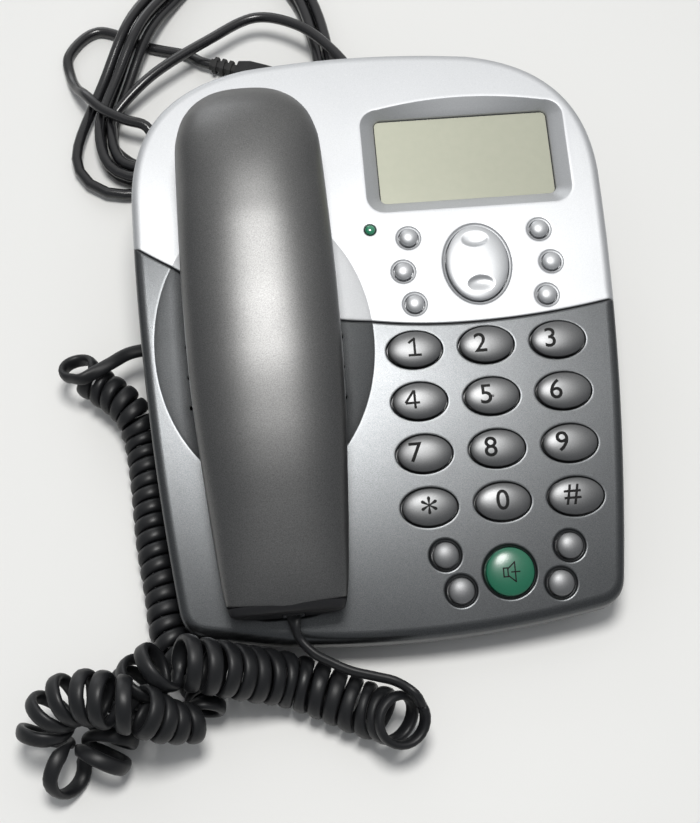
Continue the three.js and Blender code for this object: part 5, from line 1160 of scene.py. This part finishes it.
def flat_text(text, size):
    """The outlines of printed characters as a flat mesh in millimetres, centred."""
    curve = bpy.data.curves.new("print", "FONT")
    curve.body, curve.size = text, size
    curve.align_x, curve.align_y = "CENTER", "CENTER"
    curve.offset, curve.resolution_u = 0.1, 6
    held = bpy.data.objects.new("print", curve)
    bpy.context.scene.collection.objects.link(held)
    made = evaluated_mesh(held)
    bpy.data.objects.remove(held)
    bpy.data.curves.remove(curve)
    built = bmesh.new()
    built.from_mesh(made)
    bpy.data.meshes.remove(made)
    xs, ys = [v.co.x for v in built.verts], [v.co.y for v in built.verts]
    middle = Vector(((min(xs) + max(xs)) / 2, (min(ys) + max(ys)) / 2, 0))
    for v in built.verts:
        v.co -= middle
    return built


def strokes(lines, width):
    """Straight strokes of one width as a flat mesh."""
    built = bmesh.new()
    for (x0, y0), (x1, y1) in lines:
        d = Vector((x1 - x0, y1 - y0, 0)).normalized() * width / 2
        n = Vector((-d.y, d.x, 0))
        a, b = Vector((x0, y0, 0)) - d, Vector((x1, y1, 0)) + d
        built.faces.new([built.verts.new(p) for p in (a - n, b - n, b + n, a + n)])
    return built


def printed(built, surface, x, y, step=0.55, layer=0.02):
    """Lays flat print on a dome: cut into small squares, each set just over the surface."""
    for v in built.verts:
        v.co += Vector((x, y, 0))
    for normal in (Vector((1, 0, 0)), Vector((0, 1, 0))):
        values = [v.co.dot(normal) for v in built.verts]
        for place in np.arange(min(values) + step, max(values), step):
            whole = built.verts[:] + built.edges[:] + built.faces[:]
            bmesh.ops.bisect_plane(built, geom=whole, plane_co=normal * float(place), plane_no=normal, dist=1e-5)
    bmesh.ops.triangulate(built, faces=built.faces[:])
    built.verts.index_update()
    flat_points = np.array([tuple(v.co) for v in built.verts])
    flat_points[:, 2] = surface(flat_points[:, 0], flat_points[:, 1]) + layer
    faces = [tuple(v.index for v in f.verts)[:: 1 if f.normal.z > 0 else -1] for f in built.faces]
    built.free()
    return flat_points, faces


def finished_cap(name, node, slot, place, cap, material, prints=()):
    """One cap with its prints, square to the panel at its place, riding on its own body."""
    verts, faces = gathered([cap, *prints])
    piece = new_piece(name, on_panel(*place, verts), faces, material, sharp=50)
    if prints:
        piece.data.materials.append(ink)
        for face in piece.data.polygons[len(cap[1]) :]:
            face.material_index = 1
    fixed_on(piece, node, slot, node)


def oval_dome(width, height, dome):
    return lambda x, y: dome_height(np.hypot(2 * x / width, 2 * y / height), *dome)


key_dome = (2.6, 0.42, 2.3, 0.6)
key_top = oval_dome(KEY_WIDTH, KEY_HEIGHT, key_dome)
DIGIT_SHIFTS = {
    "2": -2.5, "3": -3.2, "4": -3.0, "5": -2.4, "6": -3.3, "7": -3.4, "8": -2.7, "9": -3.2, "hash": -1.6,
}
STROKES = {
    "1": [((-1.7, 1.9), (0.15, 3.2)), ((0.15, 2.9), (0.15, -2.7)), ((-1.9, -3.2), (2.2, -3.2))],
    "4": [((0.75, 3.0), (-2.2, -1.0)), ((-2.0, -1.45), (2.5, -1.45)), ((1.1, 3.0), (1.1, -3.2))],
}
PIP_PLACE = 0.1, -0.4
for name, place in KEY_PLACES.items():
    if name in STROKES:
        digit = strokes(STROKES[name], 0.92)
    else:
        digit = flat_text({"star": "*", "hash": "#"}.get(name, name), 14.5 if name == "star" else 10.6)
    cap = cap_shape(KEY_WIDTH, KEY_HEIGHT, key_dome, 72)
    if name == "5":
        pip = [(0, -0.3), (0.5, -0.3), (0.46, 0.12), (0.3, 0.26), (0, 0.32)]
        cap = gathered([cap, turned(pip, 20, *PIP_PLACE, float(key_top(*PIP_PLACE)))])
    marks = [printed(digit, key_top, DIGIT_SHIFTS.get(name, -0.3), 0.5)]
    finished_cap(f"digit_key_{name}", f"key_{name}", "button", place, cap, button_plastic, marks)

# ---- Round keys and lamp ----
# Six small silver domes beside the rocker, four grey ones and a wide green one with a printed loudspeaker
# below the digits, all moulded caps on the same mat, and a clear green pin that lights from below.
green_plastic = grained(
    "green_plastic", 1800, 0.000008, 40, (0.002, 0.105, 0.052), (0.004, 0.135, 0.07), (0.26, 0.36),
    Coat_Weight=0.5, Coat_Roughness=0.18,
)
function_plastic = grained(
    "function_plastic", 2600, 0.00001, 40, (0.17, 0.173, 0.178), (0.25, 0.253, 0.258), (0.42, 0.5),
    Metallic=0.85,
)
silver_cap = grained(
    "silver_cap", 2600, 0.000008, 30, (0.43, 0.44, 0.455), (0.53, 0.54, 0.555), (0.4, 0.48),
    Metallic=0.7,
)
ROUND_KINDS = {
    "silver": (SMALL, (2.2, 0.4, 2.1, 0.66), "silver", silver_cap),
    "function": (FUNCTION, (2.6, 0.4, 2.1, 0.66), "button", function_plastic),
    "speaker": (SPEAKER, (2.8, 0.4, 2.2, 0.58), "green", green_plastic),
}
PICTOGRAM = [
    ((-2.0, -1.6), (-2.0, 1.6)), ((-2.0, 1.6), (-0.4, 1.6)), ((-0.4, 1.6), (-0.4, -1.6)),
    ((-0.4, -1.6), (-2.0, -1.6)), ((-0.4, 1.2), (2.3, 3.6)), ((2.3, 3.6), (2.3, -3.6)),
    ((2.3, -3.6), (-0.4, -1.2)), ((1.0, 0), (3.9, 0)),
]
for name, place in ROUND_PLACES.items():
    width, dome, slot, material = ROUND_KINDS[name.split("_")[0]]
    marks = []
    if name == "speaker_key":
        marks = [printed(strokes(PICTOGRAM, 0.5), oval_dome(width, width, dome), -0.7, -0.3, step=0.5)]
    finished_cap(f"{name}_cap", name, slot, place, cap_shape(width, width, dome, 64), material, marks)

lamp_half = LAMP_WIDTH / 2
lamp_dome = [(0, -5), (1, -5), (1, -0.1), (0.96, 0.25), (0.8, 0.62), (0.55, 0.86), (0.28, 0.96), (0, 0.98)]
lamp_profile = [(lamp_half * share, z) for share, z in lamp_dome]
lamp_plastic = grained(
    "lamp_plastic", 600, 0.000003, 60, (0.015, 0.19, 0.09), (0.03, 0.26, 0.14), (0.14, 0.24),
    Coat_Weight=0.8, Coat_Roughness=0.05,
)
lamp_shape = moved(turned(lamp_profile, 40), lambda points: on_panel(*LAMP_PLACE, points))
fixed_on(new_piece("lamp_pin", *lamp_shape, lamp_plastic, sharp=50), "housing", "green", "lamp_lens")

# ---- Rocker key ----
# One oval silver cap over two domes of the mat. A thumb hollow near each end shows where to press, steep on
# the side of the middle and running out to the end.
HOLLOWS = [(-0.2, 9.6, 1), (0.4, -9.0, -1)]


def hollow_depth(x, y):
    """How deep the thumb hollows are at points of the cap."""
    deep = np.zeros_like(x)
    for cx, cy, out in HOLLOWS:
        u, v = (x - cx) / 5.2, (y - cy) * out / 3.3
        r = np.hypot(u, v)
        bowl = np.clip(1 - r**2, 0, 1) ** 0.8
        deep = np.maximum(deep, 1.7 * bowl * np.clip(0.55 - 0.45 * v, 0, 1))
    return deep


rocker_dome = (2.4, 0.34, 2.2, 0.56)
rocker_cap = cap_shape(
    ROCKER_WIDTH, ROCKER_HEIGHT, rocker_dome, 128, rows=48, play=1.8, flange=0.6, press=hollow_depth
)
finished_cap("rocker_cap", "rocker_key", "silver", ROCKER_PLACE, rocker_cap, silver_cap)

# ---- Handset ----
# Two long shells moulded in plastic, the upper one sprayed charcoal with a fine flake, snapped together along
# the widest line. The lower one carries the sound holes and the socket for the cord's plug.
HANDSET_STATIONS = [
    (-1, 0.67, 0.37, 0.28, -0.01), (-0.993, 0.715, 0.425, 0.29, -0.035), (-0.965, 0.75, 0.475, 0.3, -0.06),
    (-0.895, 0.793, 0.545, 0.31, -0.16), (-0.75, 0.845, 0.65, 0.33, -0.17), (-0.66, 0.873, 0.711, 0.35, -0.16),
    (-0.5, 0.913, 0.81, 0.46, 0.17), (-0.35, 0.951, 0.88, 0.52, 0.3), (-0.1, 0.99, 0.965, 0.57, 0.37),
    (0.15, 1, 1, 0.57, 0.38), (0.38, 0.993, 1, 0.53, 0.28), (0.5, 0.987, 0.985, 0.48, 0.2),
    (0.57, 0.985, 0.97, 0.42, -0.02), (0.63, 0.98, 0.95, 0.41, -0.19), (0.74, 0.965, 0.89, 0.4, -0.235),
    (0.84, 0.882, 0.79, 0.37, -0.25), (0.905, 0.75, 0.67, 0.34, -0.22), (0.96, 0.54, 0.51, 0.29, -0.08),
    (0.99, 0.31, 0.36, 0.25, 0.06), (1, 0.12, 0.27, 0.23, 0.15),
]


def smooth_columns(table, places):
    """The table's columns at more places, by curves that never overshoot its values."""
    t = np.array(table, float)
    x, found = t[:, 0], []
    h = np.diff(x)
    for k in range(1, t.shape[1]):
        d = np.diff(t[:, k]) / h
        inner = np.where(d[:-1] * d[1:] > 0, 2 * d[:-1] * d[1:] / (d[:-1] + d[1:] + 1e-12), 0)
        m = np.concatenate([d[:1], inner, d[-1:]])
        i = np.clip(np.searchsorted(x, places, side="right") - 1, 0, len(h) - 1)
        s = (places - x[i]) / h[i]
        found.append(
            t[i, k] * (1 + 2 * s) * (1 - s) ** 2 + t[i + 1, k] * s**2 * (3 - 2 * s)
            + m[i] * h[i] * s * (1 - s) ** 2 + m[i + 1] * h[i] * s**2 * (s - 1)
        )
    return found


handset_places = np.concatenate([
    [-1, -0.9985, -0.996, -0.993, -0.988, -0.982, -0.9765, -0.972, -0.968, -0.963, -0.958, -0.953, -0.94],
    np.linspace(-0.92, 0.84, 64), np.linspace(0.855, 0.96, 12), [0.968, 0.976, 0.983, 0.99, 0.995, 1],
])
half_width, crown, widest, belly = smooth_columns(HANDSET_STATIONS, handset_places)
half_width = half_width * HANDSET_WIDTH / 2
crown = crown * 0.983 * HANDSET_HEIGHT
widest, belly = widest * HANDSET_HEIGHT, belly * HANDSET_HEIGHT
PARTING_DROP, PARTING_GAP = 1.5, 0.36
LIP_START, LIP_END = 0.953, 0.9765


def handset_shell(upper):
    """Half a handset's rings: its outside from one parting edge to the other, and flat across the parting.

    At the front end the parting rises over the edge, so the lower shell shows there as a black lip.
    """
    rings = []
    for place, w, top, mid, low in zip(handset_places, half_width, crown, widest, belly):
        if upper and place < -LIP_END:
            continue
        below = mid - low
        edge = PARTING_DROP + (-1 if upper else 1) * PARTING_GAP / 2
        raised = float(smoothstep(-place, LIP_START, LIP_END))
        start = math.asin(min((edge / max(below, edge)) ** 1.1, 1)) * (1 - raised)
        start -= (math.pi / 2 - (0.05 if upper else 0.08)) * raised
        ends = (-start, math.pi + start) if upper else (math.pi + start, 2 * math.pi - start)
        angle = np.linspace(*ends, 44)
        s, c = np.sin(angle), np.cos(angle)
        power = np.where(s >= 0, 2 / 2.35, 2 / 2.2)
        x = -np.sign(c) * np.abs(c) ** power * w
        z = mid + np.sign(s) * np.abs(s) ** power * np.where(s >= 0, top - mid, below)
        ring = np.column_stack([x, np.full(len(x), place * HANDSET_LENGTH / 2), z])
        lip = ring[[-1, 0]] * [1 - 0.5 / w, 1, 1]
        rings.append(np.vstack([ring, lip[:1], lip * [0.5, 1, 1], lip[1:]]))
    return moved(lofted(rings), in_handset)


handset_paint = grained(
    "handset_paint", 2600, 0.000014, 10, (0.065, 0.066, 0.067), (0.195, 0.194, 0.193), (0.37, 0.41),
    Metallic=0.9,
)
handset_upper = new_piece("handset_upper_shell", *handset_shell(True), handset_paint, sharp=50)
handset_lower = new_piece("handset_lower_shell", *handset_shell(False), black_plastic, sharp=50)
front, ear_y = -HANDSET_LENGTH / 2, 0.3682 * HANDSET_LENGTH
socket_hole = block(PLUG_X - SOCKET_HALF, PLUG_X + SOCKET_HALF, front - 1, front + 9,
                    PLUG_Z - SOCKET_TALL / 2, PLUG_Z + SOCKET_TALL / 2)
sound_places = [(6 * math.cos(a), ear_y + 6 * math.sin(a)) for a in np.arange(6) * math.pi / 3]
sound_places += [(0, ear_y), (0, -ear_y)]
sound_holes = drills(sound_places, 1.2, -20, 2.4, 24, black_plastic)
cut(handset_lower, [moved(socket_hole, in_handset), moved(sound_holes, in_handset)])
fixed_on(handset_upper, "handset", "grey", "handset_top_shell")
fixed_on(handset_lower, "handset", "dark", "handset_bottom_shell")

# ---- Plain pieces ----
# Turned feet, screws, plugs, sockets, capsules and boards keep the model's own shapes and only take their
# finish here: pressed rubber, plated steel, smoky plastic and a green board.
rubber = grained(
    "pressed_rubber", 1600, 0.00002, 40, (0.014, 0.014, 0.014), (0.03, 0.03, 0.03), (0.6, 0.8)
)
steel = grained(
    "plated_steel", 1200, 0.000006, 60, (0.48, 0.48, 0.49), (0.62, 0.62, 0.63), (0.26, 0.42), Metallic=1.0
)
smoky_plastic = grained(
    "smoky_plastic", 500, 0.000003, 30, (0.022, 0.022, 0.024), (0.04, 0.04, 0.043), (0.15, 0.28),
    Coat_Weight=0.5, Coat_Roughness=0.1,
)
board_green = grained(
    "board_lacquer", 700, 0.000008, 60, (0.015, 0.11, 0.035), (0.03, 0.16, 0.06), (0.3, 0.45)
)
CORNERS = ["front_left", "front_right", "rear_left", "rear_right"]
for material, names in (
    (rubber, ["key_mat", "cable_gland", "cable_relief", *(f"foot_{corner}" for corner in CORNERS)]),
    (steel, ["loudspeaker", "earpiece_capsule", "microphone_capsule", "handset_weight"]),
    (steel, [f"housing_screw_{corner}" for corner in CORNERS]),
    (smoky_plastic, ["handset_cord_plug", "base_cord_plug"]),
    (board_green, ["main_board"]),
    (black_plastic, ["hook_plunger", "display_module", "handset_socket", "base_socket", "cable_plug"]),
):
    for name in names:
        nodes[name].data.materials.clear()
        nodes[name].data.materials.append(material)
